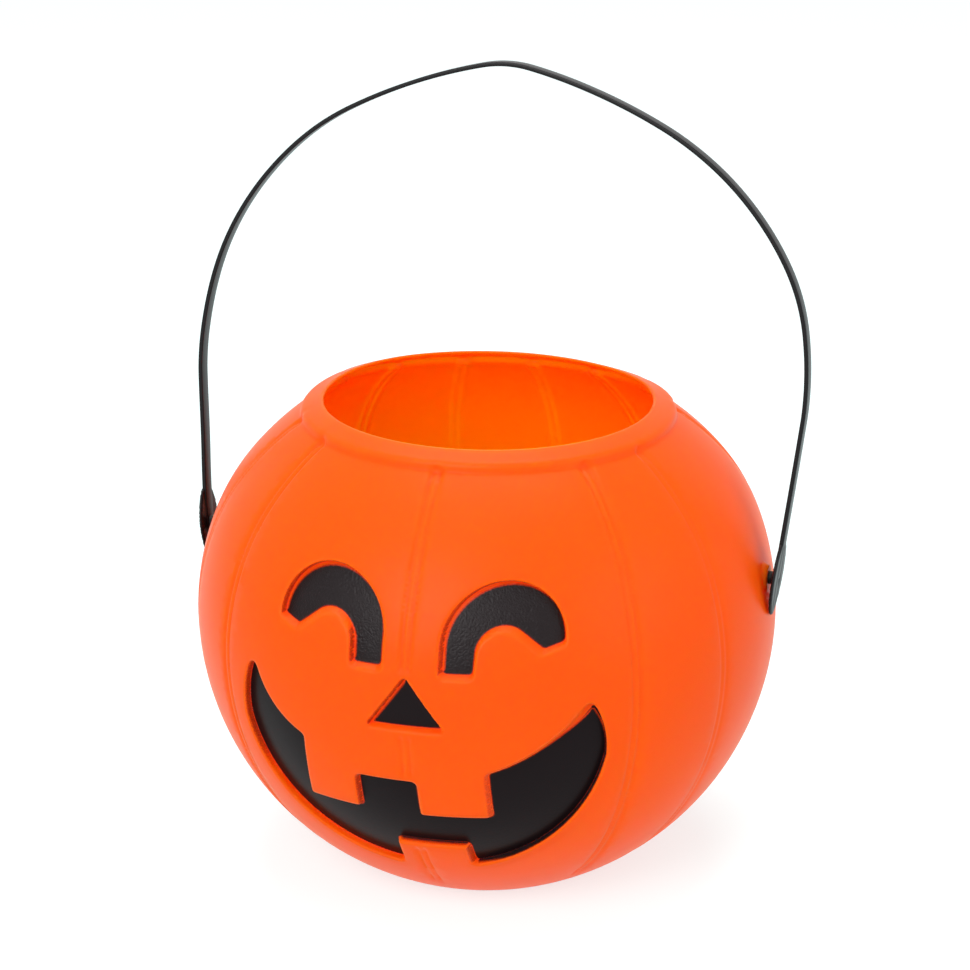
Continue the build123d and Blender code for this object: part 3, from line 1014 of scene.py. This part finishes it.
    def _thinned(self, fresh: np.ndarray, taken: np.ndarray, size: float) -> np.ndarray:
        """Drops places that lie too near to others.

        Args:
            fresh: New places.
            taken: Places already kept.
            size: Spacing of the new places.

        Returns:
            The new places that are kept.
        """
        spot = self.section.at_rise(fresh[:, 1])
        free = self._hinge_distance(fresh[:, 0], spot["radius"], spot["height"]) > self.hole_radius + 0.15
        fresh = fresh[free]
        tree = kdtree.KDTree(len(taken) + len(fresh))
        for number, (turn, rise) in enumerate(np.vstack((taken, fresh)).tolist()):
            tree.insert((turn, rise, 0.0), number)
        tree.balance()
        dropped = np.zeros(len(fresh), bool)
        for number, (turn, rise) in enumerate(fresh.tolist()):
            if dropped[number]:
                continue
            for _, other, gap in tree.find_range((turn, rise, 0.0), 0.72 * size):
                if other < len(taken):
                    dropped[number] = True
                    break
                if other - len(taken) > number and gap < 0.45 * size:
                    dropped[other - len(taken)] = True
        return fresh[~dropped]

    # Raising the sheet

    def _placed(self, turn: np.ndarray, rise: np.ndarray) -> tuple[np.ndarray, dict[str, np.ndarray]]:
        """Bends the flat sheet round into the globe and presses the face and the bosses into it.

        Args:
            turn: Angle from the front of each place.
            rise: Flat rise of each place.

        Returns:
            Points in mm, and values for the grooves and the paint.
        """
        spot = self.section.at_rise(rise)
        radius, height, outside = spot["radius"], spot["height"], spot["outside"]
        sine, cosine = np.sin(turn), np.cos(turn)
        oval = self.mouth_oval * smooth_step(self.section.equator_height + 8.0, self.section.foot_height + 5.0, height)
        full = 1 + self.back_fullness / self.mouth_oval * oval * np.exp(-((np.abs(turn) - 2.2) / 0.45) ** 2)
        points = np.column_stack((radius * sine * (1 + oval) * full, -radius * cosine * (1 - oval) * full, height))
        outward = np.column_stack((spot["out_radius"] * sine, -spot["out_radius"] * cosine, spot["out_height"]))
        flat = np.column_stack((points[:, 0], height - self.section.equator_height))
        front = np.abs(turn) < self.front_turn
        distance, way = np.full(len(turn), self.far), np.zeros((len(turn), 2))
        part = np.full(len(turn), -1)
        for number, loop in enumerate(self.loops.values()):
            found, direction = signed_distance(flat[front], loop)
            nearer = found < distance[front]
            chosen = np.flatnonzero(front)[nearer]
            distance[chosen], way[chosen], part[chosen] = found[nearer], direction[nearer], number
        to_rim = self.profile_shift - (distance - np.where(outside, 0.0, self.section.wall))
        down = np.interp(to_rim, self.profile_in, self.profile_down)
        points[:, 1] += np.where(front, down / np.maximum(np.abs(outward[:, 1]), 0.55), 0.0)
        hinge = self._hinge_distance(turn, radius, height)
        raised = smooth_step(self.boss_radius + 0.9, self.boss_radius - 0.25, hinge) * outside
        points[:, 0] += raised * (np.sign(sine) * self.boss_reach - points[:, 0])
        offset, strength = self._groove_offset(turn)
        clear = smooth_step(2.0, 4.5, distance) * smooth_step(*self.groove_ends, height)
        fade = smooth_step(self.section.foot_height + 0.6, self.section.foot_height - 0.6, height)
        values = {
            "turn": turn,
            "ring_radius": radius * MM,
            "groove_strength": strength * clear * fade * np.where(outside, 1.0, self.inner_share),
            "dent_strength": (strength > 0) * np.where(outside, 1.0, 1.2),
            "foot_distance": (height - self.section.foot_height - 0.3) * MM,
            "inward": np.where(outside[:, None], -outward, outward),
            "face_distance": distance,
            "face_part": part.astype(float),
            "overspray_and_wall_shade": self._overspray_and_wall_shade(flat[:, 0], distance, way, part) * outside,
            "paint_depth": self._paint_depth(flat, distance, way, part),
        }
        return points, values

    def _overspray_and_wall_shade(self, x: np.ndarray, distance: np.ndarray, way: np.ndarray, part: np.ndarray) -> np.ndarray:
        """How dark a recess wall is made: a line of painted shade on walls that face the lower right, and black spray
        that reaches further in the mouth.

        Args:
            x: Place across the pail.
            distance: Distance outside the outline.
            way: Direction in which that distance grows.
            part: Number of the nearest part of the face.

        Returns:
            Cover from 0 to 1.
        """
        toward = way @ np.array(self.spray_and_shade_way)
        facing = smooth_step(0.05, 0.45, toward) * smooth_step(-10.0, -6.0, x)
        reach = -1.4 + facing * (1.6 + 0.4 * smooth_step(14.0, 30.0, x))
        mouth = part == list(FacePart).index(FacePart.MOUTH)
        # Painted shade: walls on the upper left of each recess, facing away from the key light, are darkened, less on
        # the mouth's right
        painted_wall_shade = self.painted_wall_shade * smooth_step(0.0, -0.5, toward) * smooth_step(1.4, 0.5, distance)
        painted_wall_shade = painted_wall_shade * (1 - mouth * smooth_step(22.0, 34.0, x))
        return np.maximum(smooth_step(0.8, -0.8, distance - reach) * mouth, painted_wall_shade * smooth_step(-0.5, -0.1, distance))

    def _paint_depth(self, flat: np.ndarray, distance: np.ndarray, way: np.ndarray, part: np.ndarray) -> np.ndarray:
        """Distance inside the edge of the spray mask, which sits a little too far down and to the right.

        Args:
            flat: Places across and up.
            distance: Distance outside the outline.
            way: Direction in which that distance grows.
            part: Number of the nearest part of the face.

        Returns:
            Distance in mm, negative outside the mask.
        """
        mouth = part == list(FacePart).index(FacePart.MOUTH)
        tip = np.array([self.face.grin_tip[0], self.face.grin_tip[1] - self.face.grin_tilt])
        height, reach = self.bare_tip
        bare = height * np.clip(way[:, 1], 0.0, 1.0) * np.exp(-((flat - tip) ** 2).sum(axis=1) / reach ** 2)
        nose = part == list(FacePart).index(FacePart.NOSE)
        slip = np.maximum(0.0, way @ np.array(self.paint_slip)) * np.where(nose, self.nose_slip, 1.0)
        return -distance - self.floor_inset - np.where(mouth, bare, slip)

    def _base_disc(self, points: list, ring: np.ndarray, inside: bool) -> list[list[int]]:
        """Closes one skin of the base with rings and a middle point.

        Args:
            points: Points so far; the disc's are added.
            ring: Numbers of the points on the sheet's end.
            inside: True for the inner skin.

        Returns:
            The disc's faces.
        """
        lift = self.section.wall if inside else 0.0
        around = np.linspace(-math.pi, math.pi, self.ring_count + 1)[:-1]
        faces, last = [], ring.tolist()
        for radius, height in self.push_up:
            first = len(points)
            points.extend(zip(radius * np.sin(around), -radius * np.cos(around), np.full(len(around), height + lift)))
            here = list(range(first, first + len(around)))
            faces += [[a, b, d, c] for a, b, c, d in zip(last, last[1:] + last[:1], here, here[1:] + here[:1])]
            last = here
        points.append((0.0, 0.0, self.push_up[-1][1] + lift))
        faces += [[a, b, len(points) - 1] for a, b in zip(last, last[1:] + last[:1])]
        return faces if inside else [face[::-1] for face in faces]

    def _sheet_mesh(self) -> bpy.types.Mesh:
        """Triangulates the sheet, closes its seam, peg holes and base, and stores what the grooves need.

        Returns:
            The mesh before its grooves are pressed in.
        """
        places, rings = self._flat_places()
        rows, count = self.seam_rows, self.ring_count
        hole_edges = [(int(a), int(b)) for ring in rings for a, b in zip(ring, np.roll(ring, -1))]
        made = geometry.delaunay_2d_cdt([Vector(p) for p in places.tolist()], hole_edges, [], 0, 1e-9)
        flat = np.array([tuple(p) for p in made[0]])
        number_of = {int(old): new for new, olds in enumerate(made[3]) for old in olds}
        faces = np.array(made[2])
        middle = flat[faces].mean(axis=1)
        spot = self.section.at_rise(middle[:, 1])
        faces = faces[self._hinge_distance(middle[:, 0], spot["radius"], spot["height"]) > self.hole_radius * 0.98]
        seam = {number_of[rows + row]: number_of[row] for row in range(rows)}
        lookup = np.arange(len(flat))
        lookup[list(seam)] = list(seam.values())
        faces = lookup[faces].tolist()
        for outer, inner in (rings[:2], rings[2:]):
            outer, inner = [[number_of[int(i)] for i in ring] for ring in (outer, inner)]
            right = flat[outer[0]][0] > 0
            for a, b, c, d in zip(outer, outer[1:] + outer[:1], inner, inner[1:] + inner[:1]):
                faces.append([a, b, d, c] if right else [c, d, b, a])
        points, values = self._placed(*flat.T)
        ends = [np.array([number_of[i] for i in [corner, *range(start, start + count - 1)]])
                for corner, start in ((0, 2 * rows), (rows - 1, 2 * rows + count - 1))]
        listed = [tuple(p) for p in points]
        faces += self._base_disc(listed, ends[0], inside=False) + self._base_disc(listed, ends[1], inside=True)
        mesh = make_mesh("pail_shell_sheet", np.array(listed), faces)
        extra = len(listed) - len(points)
        for name, value in values.items():
            blank = self.far if name == "face_distance" else 0.0
            pad = np.full((extra, *value.shape[1:]), blank)
            keep(mesh, name, np.concatenate((value, pad)))
        return mesh

    def _groove_tree(self) -> bpy.types.NodeTree:
        """Geometry Nodes that press the panel grooves and their end dents into the wall, all round.

        Returns:
            The tree, with inputs for the count, the sizes and the material.
        """
        lengths = dict.fromkeys(("Half Width", "Groove Depth", "Dent Radius", "Dent Depth"), "Float")
        tree, given = start_tree("panel_grooves", {"Groove Places": "Int", **lengths})

        def named(name: str, kind: str = "FLOAT") -> bpy.types.NodeSocket:
            """Value stored on the sheet under a name."""
            return add_node(tree, "GeometryNodeInputNamedAttribute", {"Name": name}, data_type=kind).outputs[0]

        def sum_up(operation: str, *terms: Any) -> bpy.types.NodeSocket:
            """Result of one step of arithmetic."""
            return add_node(tree, "ShaderNodeMath", dict(enumerate(terms)), operation=operation).outputs[0]

        turn, step = named("turn"), sum_up("DIVIDE", math.tau, given["Groove Places"])
        nearest = sum_up("MULTIPLY", step, sum_up("ROUND", sum_up("DIVIDE", turn, step)))
        off = sum_up("SUBTRACT", turn, nearest)
        across = sum_up("ABSOLUTE", sum_up("MULTIPLY", off, named("ring_radius")))
        curve = add_node(tree, "ShaderNodeFloatCurve", {"Value": sum_up("DIVIDE", across, given["Half Width"])})
        line, (first, *between, last) = curve.mapping.curves[0], self.groove_section
        line.points[0].location, line.points[1].location = first, last
        for place in between:
            line.points.new(*place)
        curve.mapping.update()
        groove = sum_up("MULTIPLY", curve.outputs[0], given["Groove Depth"])
        groove = sum_up("MULTIPLY", groove, named("groove_strength"))
        square = sum_up("ADD", sum_up("POWER", across, 2.0), sum_up("POWER", named("foot_distance"), 2.0))
        away = sum_up("DIVIDE", sum_up("SQRT", square), given["Dent Radius"])
        fall = sum_up("POWER", math.e, sum_up("MULTIPLY", sum_up("MULTIPLY", away, away), -1.0))
        dent = sum_up("MULTIPLY", sum_up("MULTIPLY", fall, given["Dent Depth"]), named("dent_strength"))
        push = add_node(tree, "ShaderNodeVectorMath",
                        {0: named("inward", "FLOAT_VECTOR"), "Scale": sum_up("ADD", groove, dent)}, operation="SCALE")
        pressed = add_node(tree, "GeometryNodeSetPosition", {"Geometry": given["Geometry"], "Offset": push.outputs[0]})
        end_tree(tree, pressed.outputs[0], given["Finish"])
        return tree

    def build(self) -> bpy.types.Object:
        """Builds and dresses the shell.

        Returns:
            The shell, riding on the pail.
        """
        piece = show("pail_shell_blown", self._sheet_mesh())
        shape_with(piece, self._groove_tree(), {
            "Groove Places": self.groove_positions, "Half Width": self.groove_half_width * MM,
            "Groove Depth": self.groove_depth * MM, "Dent Radius": self.dent_radius * MM,
            "Dent Depth": self.dent_depth * MM, "Finish": self.finish.material(),
        })
        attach(piece, Body.PAIL.value)
        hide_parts("pail_shell")
        return piece


@dataclass
class FacePaint:
    """Sprayed films on the floors of the recessed face, in mm."""

    finish: SprayedPaint
    shell: bpy.types.Object
    floor_inset: float = 0.4
    fade: float = 0.45
    corner_reach: float = 0.12
    lift: float = 0.1
    seat: float = 0.1
    coats: tuple[Coat, ...] = (Coat.PEBBLED, Coat.PEBBLED, Coat.FINE, Coat.SMOOTH)

    def build(self) -> list[bpy.types.Object]:
        """Lifts each film off the shell's own surface and closes it underneath.

        Returns:
            The films, riding on the pail.
        """
        mesh = self.shell.data
        points, normals = rows_of(mesh.vertices, "co") / MM, rows_of(mesh.vertex_normals, "vector")
        distance, part, depth = (stored(mesh, name) for name in ("face_distance", "face_part", "paint_depth"))
        cover = np.minimum(depth + self.fade, self.corner_reach - self.floor_inset - distance)
        outside = np.einsum("ij,ij->i", points - (0.0, 0.0, 90.0), normals) > 0
        triangles = np.array([tuple(p.vertices) for p in mesh.polygons if len(p.vertices) == 3])
        materials = {coat: self.finish.material(coat) for coat in Coat}
        films = []
        for number, name in enumerate(FacePart):
            mine = (part == number) & outside
            picked = mine[triangles].all(axis=1) & (cover[triangles] > 0).any(axis=1)
            places, faces = self._cut(np.column_stack((points, normals, depth, cover)), triangles[picked])
            film = self._film(name, places[:, :3], places[:, 3:6], places[:, 6], faces)
            film.data.materials.append(materials[self.coats[number]])
            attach(film, Body.PAIL.value)
            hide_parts(name.value)
            films.append(film)
        return films

    def _cut(self, places: np.ndarray, triangles: np.ndarray) -> tuple[np.ndarray, np.ndarray]:
        """Cuts triangles along the line where the paint ends.

        Args:
            places: A point, a normal, the depth inside the mask and the cover on each row.
            triangles: Triangles of the shell that the paint touches.

        Returns:
            The places that are used and the triangles between them.
        """
        rows, crossings, faces = list(places), {}, []

        def crossing(a: int, b: int) -> int:
            """Number of the place where the paint ends on one side of a triangle."""
            key = (min(a, b), max(a, b))
            if key not in crossings:
                low, high = places[key[0]], places[key[1]]
                rows.append(low + (high - low) * low[7] / (low[7] - high[7]))
                crossings[key] = len(rows) - 1
            return crossings[key]

        for corners in triangles.tolist():
            kept = []
            for a, b in zip(corners, corners[1:] + corners[:1]):
                inside, next_inside = places[a][7] > 0, places[b][7] > 0
                kept += [a] * inside + [crossing(a, b)] * (inside != next_inside)
            faces += [[kept[0], kept[i], kept[i + 1]] for i in range(1, len(kept) - 1)]
        used, faces = np.unique(np.array(faces), return_inverse=True)
        return np.array(rows)[used], faces.reshape(-1, 3)

    def _film(self, name: FacePart, points: np.ndarray, normals: np.ndarray, depth: np.ndarray,
              faces: np.ndarray) -> bpy.types.Object:
        """Makes one closed film.

        Args:
            name: Part of the face.
            points: Places on the shell, in mm.
            normals: Ways out of the shell there.
            depth: Distances inside the edge of the paint.
            faces: Triangles of the top side.

        Returns:
            The film.
        """
        count = len(points)
        sides = np.concatenate((faces[:, [0, 1]], faces[:, [1, 2]], faces[:, [2, 0]])).tolist()
        pairs = {tuple(side) for side in sides}
        rim = [side for side in sides if (side[1], side[0]) not in pairs]
        closed = faces.tolist() + (faces[:, ::-1] + count).tolist()
        closed += [[b, a, a + count, b + count] for a, b in rim]
        both = np.vstack((points + normals * self.lift, points - normals * self.seat))
        mesh = make_mesh(name.value + "_film", both, closed)
        keep(mesh, "paint_depth", np.tile(depth, 2))
        return show(name.value + "_film", mesh)


# The handle


@dataclass
class StrapHandle:
    """Moulded strap with a paddle and a snap peg at each end, in mm."""

    finish: MouldedPolypropylene
    hinge_out: float = 101.7
    hinge_height: float = 109.5
    lean: float = math.radians(7.0)
    splay: float = math.radians(6.5)
    shoulder_radius: float = 95.0
    shoulder_up: float = 65.0
    shoulder_end_slope: float = math.radians(27.0)
    roof_radius: float = 200.0
    crown_radius: float = 40.0
    width: float = 6.0
    thickness: float = 1.5
    edge_round: float = 0.4
    left_sway: tuple[tuple[float, float], ...] = ((0, 0.0), (12, 0.0), (29, 1.6), (42, 2.1), (56, 3.0), (67, 4.0),
                                                  (80, 4.8), (119, 5.0), (132, 4.8), (144, 3.9), (160, 2.5), (168, 1.4))
    right_sway: tuple[tuple[float, float], ...] = ((0, 0.0), (40, 0.2), (72, 0.1), (86, 0.8), (96, 1.3), (106, 0.9),
                                                   (122, 0.0), (145, -0.9), (160, 0.0), (168, 1.4))
    sway_smoothing: int = 5
    paddle_up: float = 13.0
    paddle_down: float = 13.6
    paddle_half_width: float = 8.4
    paddle_widest_up: float = 0.5
    paddle_tip_round: float = 4.0
    paddle_thickness: float = 1.4
    paddle_proud: float = 0.2
    paddle_edge_round: float = 0.4
    paddle_points: int = 120
    ridge_height: float = 0.22
    ridge_width: float = 0.7
    ridge_bow: float = 0.34
    sink_depth: float = 0.25
    sink_radius: float = 1.6
    peg_radius: float = 2.2
    peg_head_radius: float = 3.0
    peg_tip_radius: float = 1.3
    peg_head: tuple[float, float] = (92.4, 94.8)
    peg_sides: int = 40

    def _leaned(self, across: np.ndarray, depth: np.ndarray, up: np.ndarray) -> np.ndarray:
        """Leans points back about the hinge line.

        Args:
            across: Places across the pail.
            depth: Places from front to back.
            up: Places up from the hinge.

        Returns:
            The leaned points.
        """
        back = depth * math.cos(self.lean) + up * math.sin(self.lean)
        height = self.hinge_height - depth * math.sin(self.lean) + up * math.cos(self.lean)
        return np.column_stack((across, back, height))

    def _centre_line(self) -> np.ndarray:
        """Centre line from the right hinge over the crown to the left hinge.

        Returns:
            Places across and up on each row.
        """
        side_rise = self.shoulder_up - self.shoulder_radius * math.sin(self.splay)
        out = self.hinge_out + side_rise * math.tan(self.splay) - self.shoulder_radius * math.cos(self.splay)
        roof_turn = math.pi / 2 - self.shoulder_end_slope
        back = self.roof_radius - self.shoulder_radius
        roof = (out - back * math.cos(roof_turn), self.shoulder_up - back * math.sin(roof_turn))
        crown_turn = math.acos(-roof[0] / (self.roof_radius - self.crown_radius))
        crown = (0.0, roof[1] + (self.roof_radius - self.crown_radius) * math.sin(crown_turn))
        shoulder = arc((out, self.shoulder_up), self.shoulder_radius, -self.splay, roof_turn, 2.0)
        half = np.vstack((
            np.linspace((self.hinge_out, 0.0), shoulder[0], 24)[:-1],
            shoulder,
            arc(roof, self.roof_radius, roof_turn, crown_turn, 2.0)[1:],
            arc(crown, self.crown_radius, crown_turn, math.pi / 2, 1.5)[1:],
        ))
        return np.vstack((half, half[-2::-1] * (-1, 1)))

    def _strap_tree(self) -> bpy.types.NodeTree:
        """Geometry Nodes that draw the strap's rounded section along its centre line.

        Returns:
            The tree, with inputs for the section's sizes and the material.
        """
        lengths = dict.fromkeys(("Strap Width", "Strap Thickness", "Edge Round"), "Float")
        tree, given = start_tree("bent_strap", lengths)
        line = add_node(tree, "GeometryNodeMeshToCurve", {0: given["Geometry"]})
        plane = (0.0, -math.cos(self.lean), math.sin(self.lean))
        turned = add_node(tree, "GeometryNodeSetCurveNormal", {"Curve": line.outputs[0], "Normal": plane}, mode="FREE")
        section = add_node(tree, "GeometryNodeCurvePrimitiveQuadrilateral",
                           {"Width": given["Strap Width"], "Height": given["Strap Thickness"]})
        section = add_node(tree, "GeometryNodeFilletCurve",
                           {"Curve": section.outputs[0], "Radius": given["Edge Round"], "Count": 4}, mode="POLY")
        swept = add_node(tree, "GeometryNodeCurveToMesh",
                         {"Curve": turned.outputs[0], "Profile Curve": section.outputs[0], "Fill Caps": True})
        end_tree(tree, swept.outputs[0], given["Finish"])
        return tree

    def _strap(self, material: bpy.types.Material) -> bpy.types.Object:
        """Sweeps the strap along its centre line.

        Args:
            material: Finish of the strap.

        Returns:
            The strap, as a plain mesh.
        """
        line = self._centre_line()
        sway = np.where(line[:, 0] < 0, *(np.interp(line[:, 1], *np.array(side, float).T)
                                          for side in (self.left_sway, self.right_sway)))
        window = 2 * self.sway_smoothing + 1
        line[:, 0] += np.convolve(np.pad(sway, self.sway_smoothing, mode="edge"), np.full(window, 1 / window), "valid")
        points = self._leaned(line[:, 0], np.zeros(len(line)), line[:, 1])
        mesh = bpy.data.meshes.new("strap_centre_line")
        mesh.from_pydata((points * MM).tolist(), [(i, i + 1) for i in range(len(points) - 1)], [])
        piece = show("handle_strap_moulding", mesh)
        shape_with(piece, self._strap_tree(), {
            "Strap Width": self.width * MM, "Strap Thickness": self.thickness * MM,
            "Edge Round": self.edge_round * MM, "Finish": material,
        })
        return piece

    def _paddle(self) -> tuple[np.ndarray, list]:
        """Right-hand paddle: a rounded plate with two ridges and a sink mark on its outer face.

        Returns:
            Points in mm and faces.
        """
        half, top, tip = self.width / 2, self.paddle_up, (0.0, -self.paddle_down)
        bow = (self.paddle_half_width, self.paddle_widest_up)
        left = arc_through((-half, top), (-bow[0], bow[1]), tip, 0.5)
        loop = rounded_loop([left, (left * (-1, 1))[::-1], [(half, top), (-half, top)]], self.paddle_tip_round)
        closed = np.vstack((loop, loop[:1]))
        loop = along_path(closed, np.linspace(0.0, walked(closed)[-1], self.paddle_points + 1)[:-1])
        grid = np.stack(np.meshgrid(np.arange(-9.5, 9.6, 0.5), np.arange(-14.2, 13.6, 0.45)), axis=-1)
        grid[1::2, :, 0] += 0.25
        grid = grid.reshape(-1, 2)
        grid = grid[signed_distance(grid, loop)[0] < -0.35]
        count = len(loop)
        ring = [(i, (i + 1) % count) for i in range(count)]
        made = geometry.delaunay_2d_cdt([Vector(p) for p in np.vstack((loop, grid)).tolist()], ring, [], 1, 1e-9)
        flat, faces = np.array([tuple(p) for p in made[0]]), np.array(made[2])
        inside = -signed_distance(flat, loop)[0]
        inside[:count] = 0.0
        round_in = np.clip(1 - inside / self.paddle_edge_round, 0.0, 1.0)
        drop = self.paddle_edge_round * (1 - np.sqrt(1 - round_in ** 2))
        y, up = flat.T
        bow_out = self.ridge_bow * self.paddle_half_width * np.clip(1 - ((up + 1.0) / 15.0) ** 2, 0.0, 1.0)
        ridges = np.exp(-((np.abs(y) - bow_out) / self.ridge_width) ** 2) * smooth_step(0.3, 2.0, inside)
        sink = np.exp(-((y - 0.4) ** 2 + (up + 1.0) ** 2) / self.sink_radius ** 2)
        outer = self.thickness / 2 + self.paddle_proud
        face_out = outer - drop + self.ridge_height * ridges - self.sink_depth * sink - self.ridge_height
        face_in = outer - self.paddle_thickness + drop
        faces_out, faces_in = faces.tolist(), (faces[:, ::-1] + len(flat)).tolist()
        rim = [[(i + 1) % count, i, i + len(flat), (i + 1) % count + len(flat)] for i in range(count)]
        thick = np.concatenate((face_out, face_in))
        y, up = np.tile(y, 2), np.tile(up, 2)
        across = self.hinge_out + thick * math.cos(self.splay) + up * math.sin(self.splay)
        rise = up * math.cos(self.splay) - thick * math.sin(self.splay)
        return self._leaned(across, y, rise), faces_out + faces_in + rim

    def _peg(self) -> tuple[np.ndarray, list]:
        """Right-hand snap peg, turned about the hinge line.

        Returns:
            Points in mm and faces.
        """
        first, last = self.peg_head
        profile = [(first, 0.0), (first, self.peg_tip_radius - 0.3), (first + 0.25, self.peg_tip_radius),
                   (last - 0.2, self.peg_head_radius), (last, self.peg_head_radius - 0.15), (last, self.peg_radius),
                   (self.hinge_out - 1.2, self.peg_radius), (self.hinge_out - 0.6, self.peg_radius + 0.35),
                   (self.hinge_out - 0.2, self.peg_radius + 0.5), (self.hinge_out, 0.0)]
        count = self.peg_sides
        turn = np.arange(count) * math.tau / count
        points = [np.column_stack((np.full(count, x), r * np.cos(turn), self.hinge_height + r * np.sin(turn)))
                  for x, r in profile[1:-1]]
        points = np.vstack((*points, *((x, 0.0, self.hinge_height) for x, _ in (profile[0], profile[-1]))))
        faces, rings = [], len(profile) - 2
        for ring in range(rings - 1):
            for i in range(count):
                a, b = ring * count + i, ring * count + (i + 1) % count
                faces.append([a, a + count, b + count, b])
        for i in range(count):
            faces.append([rings * count, i, (i + 1) % count])
            last_ring = (rings - 1) * count
            faces.append([rings * count + 1, last_ring + (i + 1) % count, last_ring + i])
        return points, faces

    def build(self) -> bpy.types.Object:
        """Builds and dresses the handle.

        Returns:
            The handle as one piece, riding on its own body.
        """
        material = self.finish.material()
        piece = self._strap(material)
        points = [rows_of(piece.data.vertices, "co") / MM]
        faces = [list(p.vertices) for p in piece.data.polygons]
        for part, part_faces in (self._paddle(), self._peg()):
            for side in (1, -1):
                start = sum(len(p) for p in points)
                points.append(part * (side, 1, 1))
                faces += [[i + start for i in (f if side > 0 else f[::-1])] for f in part_faces]
        piece.data = make_mesh("handle_strap_moulding", np.vstack(points), faces)
        piece.data.materials.append(material)
        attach(piece, Body.HANDLE.value)
        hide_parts("handle_strap")
        return piece


# The studio


@dataclass(frozen=True)
class SoftBox:
    """Square soft light: its place and aim in metres, its edge and its power."""

    name: str
    place: tuple[float, float, float]
    aim: tuple[float, float, float]
    edge: float
    power: float


@dataclass
class Studio:
    """Plain pale floor, soft lights and the camera, in metres."""

    target: tuple[float, float, float] = (0.0, 0.0, 0.1331)
    distance: float = 1.2
    azimuth: float = math.radians(15.65)
    elevation: float = math.radians(19.66)
    lens: float = 129.75
    shift_pixels: float = -2.0
    floor_edge: float = 12.0
    floor_colour: str = "9CB2B2"
    floor_glow: float = 0.7
    floor_bounce: float = 0.35
    fill: float = 0.48
    lights: tuple[SoftBox, ...] = (
        SoftBox("key_softbox", (-0.35, -1.6, 1.1), (0.0, 0.0, 0.1), 1.1, 25.0),
        SoftBox("side_softbox", (1.6, -0.5, 0.7), (0.0, 0.0, 0.1), 1.2, 8.0),
        SoftBox("top_softbox", (-0.1, 0.3, 1.7), (0.0, 0.0, 0.1), 1.2, 20.0),
    )

    def build(self) -> None:
        """Builds the floor, the world, the lights and the camera."""
        self._floor()
        self._world()
        for light in self.lights:
            self._soft_box(light)
        self._camera()

    def _seen(self, tree: bpy.types.NodeTree) -> bpy.types.NodeSocket:
        """Tells what is looked at from what gives light.

        Args:
            tree: Node tree that gets the nodes.

        Returns:
            A value of 1 where the camera, a reflection or a see-through piece looks, and 0 for diffuse light.
        """
        path = add_node(tree, "ShaderNodeLightPath").outputs
        seen = path["Is Camera Ray"]
        for ray in ("Is Glossy Ray", "Is Transmission Ray"):
            seen = add_node(tree, "ShaderNodeMath", {0: seen, 1: path[ray]}, operation="MAXIMUM").outputs[0]
        return seen

    def _floor(self) -> None:
        """Pale painted floor that looks white and keeps the object's shadow."""
        half = 0.5 * self.floor_edge / MM
        corners = np.array([(-half, -half, 0.0), (half, -half, 0.0), (half, half, 0.0), (-half, half, 0.0)])
        floor = show("studio_floor", make_mesh("studio_floor", corners, [[0, 1, 2, 3]]))
        # Gives the eye an even white without gloss
        made, tree = start_material("white_painted_board")
        tree.nodes.clear()
        board = add_node(tree, "ShaderNodeBsdfDiffuse", {"Color": linear(self.floor_colour)})
        strength = add_node(tree, "ShaderNodeMapRange",
                            {"Value": self._seen(tree), "To Min": self.floor_bounce, "To Max": self.floor_glow})
        glow = add_node(tree, "ShaderNodeEmission", {"Color": linear(WHITE), "Strength": strength.outputs[0]})
        both = add_node(tree, "ShaderNodeAddShader", {0: board.outputs[0], 1: glow.outputs[0]})
        add_node(tree, "ShaderNodeOutputMaterial", {"Surface": both.outputs[0]})
        floor.data.materials.append(made)

    def _world(self) -> None:
        """White surroundings to look at, which give a softer fill as light."""
        world = bpy.data.worlds.new("white_studio")
        world.use_nodes = True
        tree = world.node_tree
        strength = add_node(tree, "ShaderNodeMapRange",
                            {"Value": self._seen(tree), "To Min": self.fill, "To Max": 1.0})
        plug(tree, tree.nodes["Background"], {"Color": linear(WHITE), "Strength": strength.outputs[0]})
        bpy.context.scene.world = world

    def _soft_box(self, light: SoftBox) -> None:
        """One square soft light, aimed at the object."""
        data = bpy.data.lights.new(light.name, "AREA")
        data.shape, data.size, data.energy = "SQUARE", light.edge, light.power
        lamp = bpy.data.objects.new(light.name, data)
        lamp.location = light.place
        lamp.rotation_euler = (Vector(light.aim) - Vector(light.place)).to_track_quat("-Z", "Y").to_euler()
        bpy.context.scene.collection.objects.link(lamp)

    def _camera(self) -> None:
        """Camera at the photograph's viewing angle."""
        data = bpy.data.cameras.new("studio_camera")
        data.sensor_width, data.lens = 36.0, self.lens
        data.shift_x = self.shift_pixels / IMAGE_PIXELS
        back = Vector((math.sin(self.azimuth) * math.cos(self.elevation),
                       -math.cos(self.azimuth) * math.cos(self.elevation), math.sin(self.elevation)))
        camera = bpy.data.objects.new("studio_camera", data)
        camera.location = Vector(self.target) + back * self.distance
        camera.rotation_euler = (-back).to_track_quat("-Z", "Y").to_euler()
        bpy.context.scene.collection.objects.link(camera)
        bpy.context.scene.camera = camera


def main() -> None:
    """Builds the pieces and the studio in order, and reports each piece."""
    logging.basicConfig(level=logging.INFO, format="%(name)s: %(message)s")
    bpy.context.scene.view_settings.view_transform = "Standard"
    # Light crosses the thin wall and the hollow of the pail many times
    bpy.context.scene.cycles.diffuse_bounces = 12
    shell = PailShell(BlownPolyethylene()).build()
    LOG.info("%s: %d faces", shell.name, len(shell.data.polygons))
    for film in FacePaint(SprayedPaint(), shell).build():
        LOG.info("%s: %d faces", film.name, len(film.data.polygons))
    handle = StrapHandle(MouldedPolypropylene()).build()
    LOG.info("%s: %d faces", handle.name, len(handle.data.polygons))
    Studio().build()


if __name__ == "__main__":
    main()
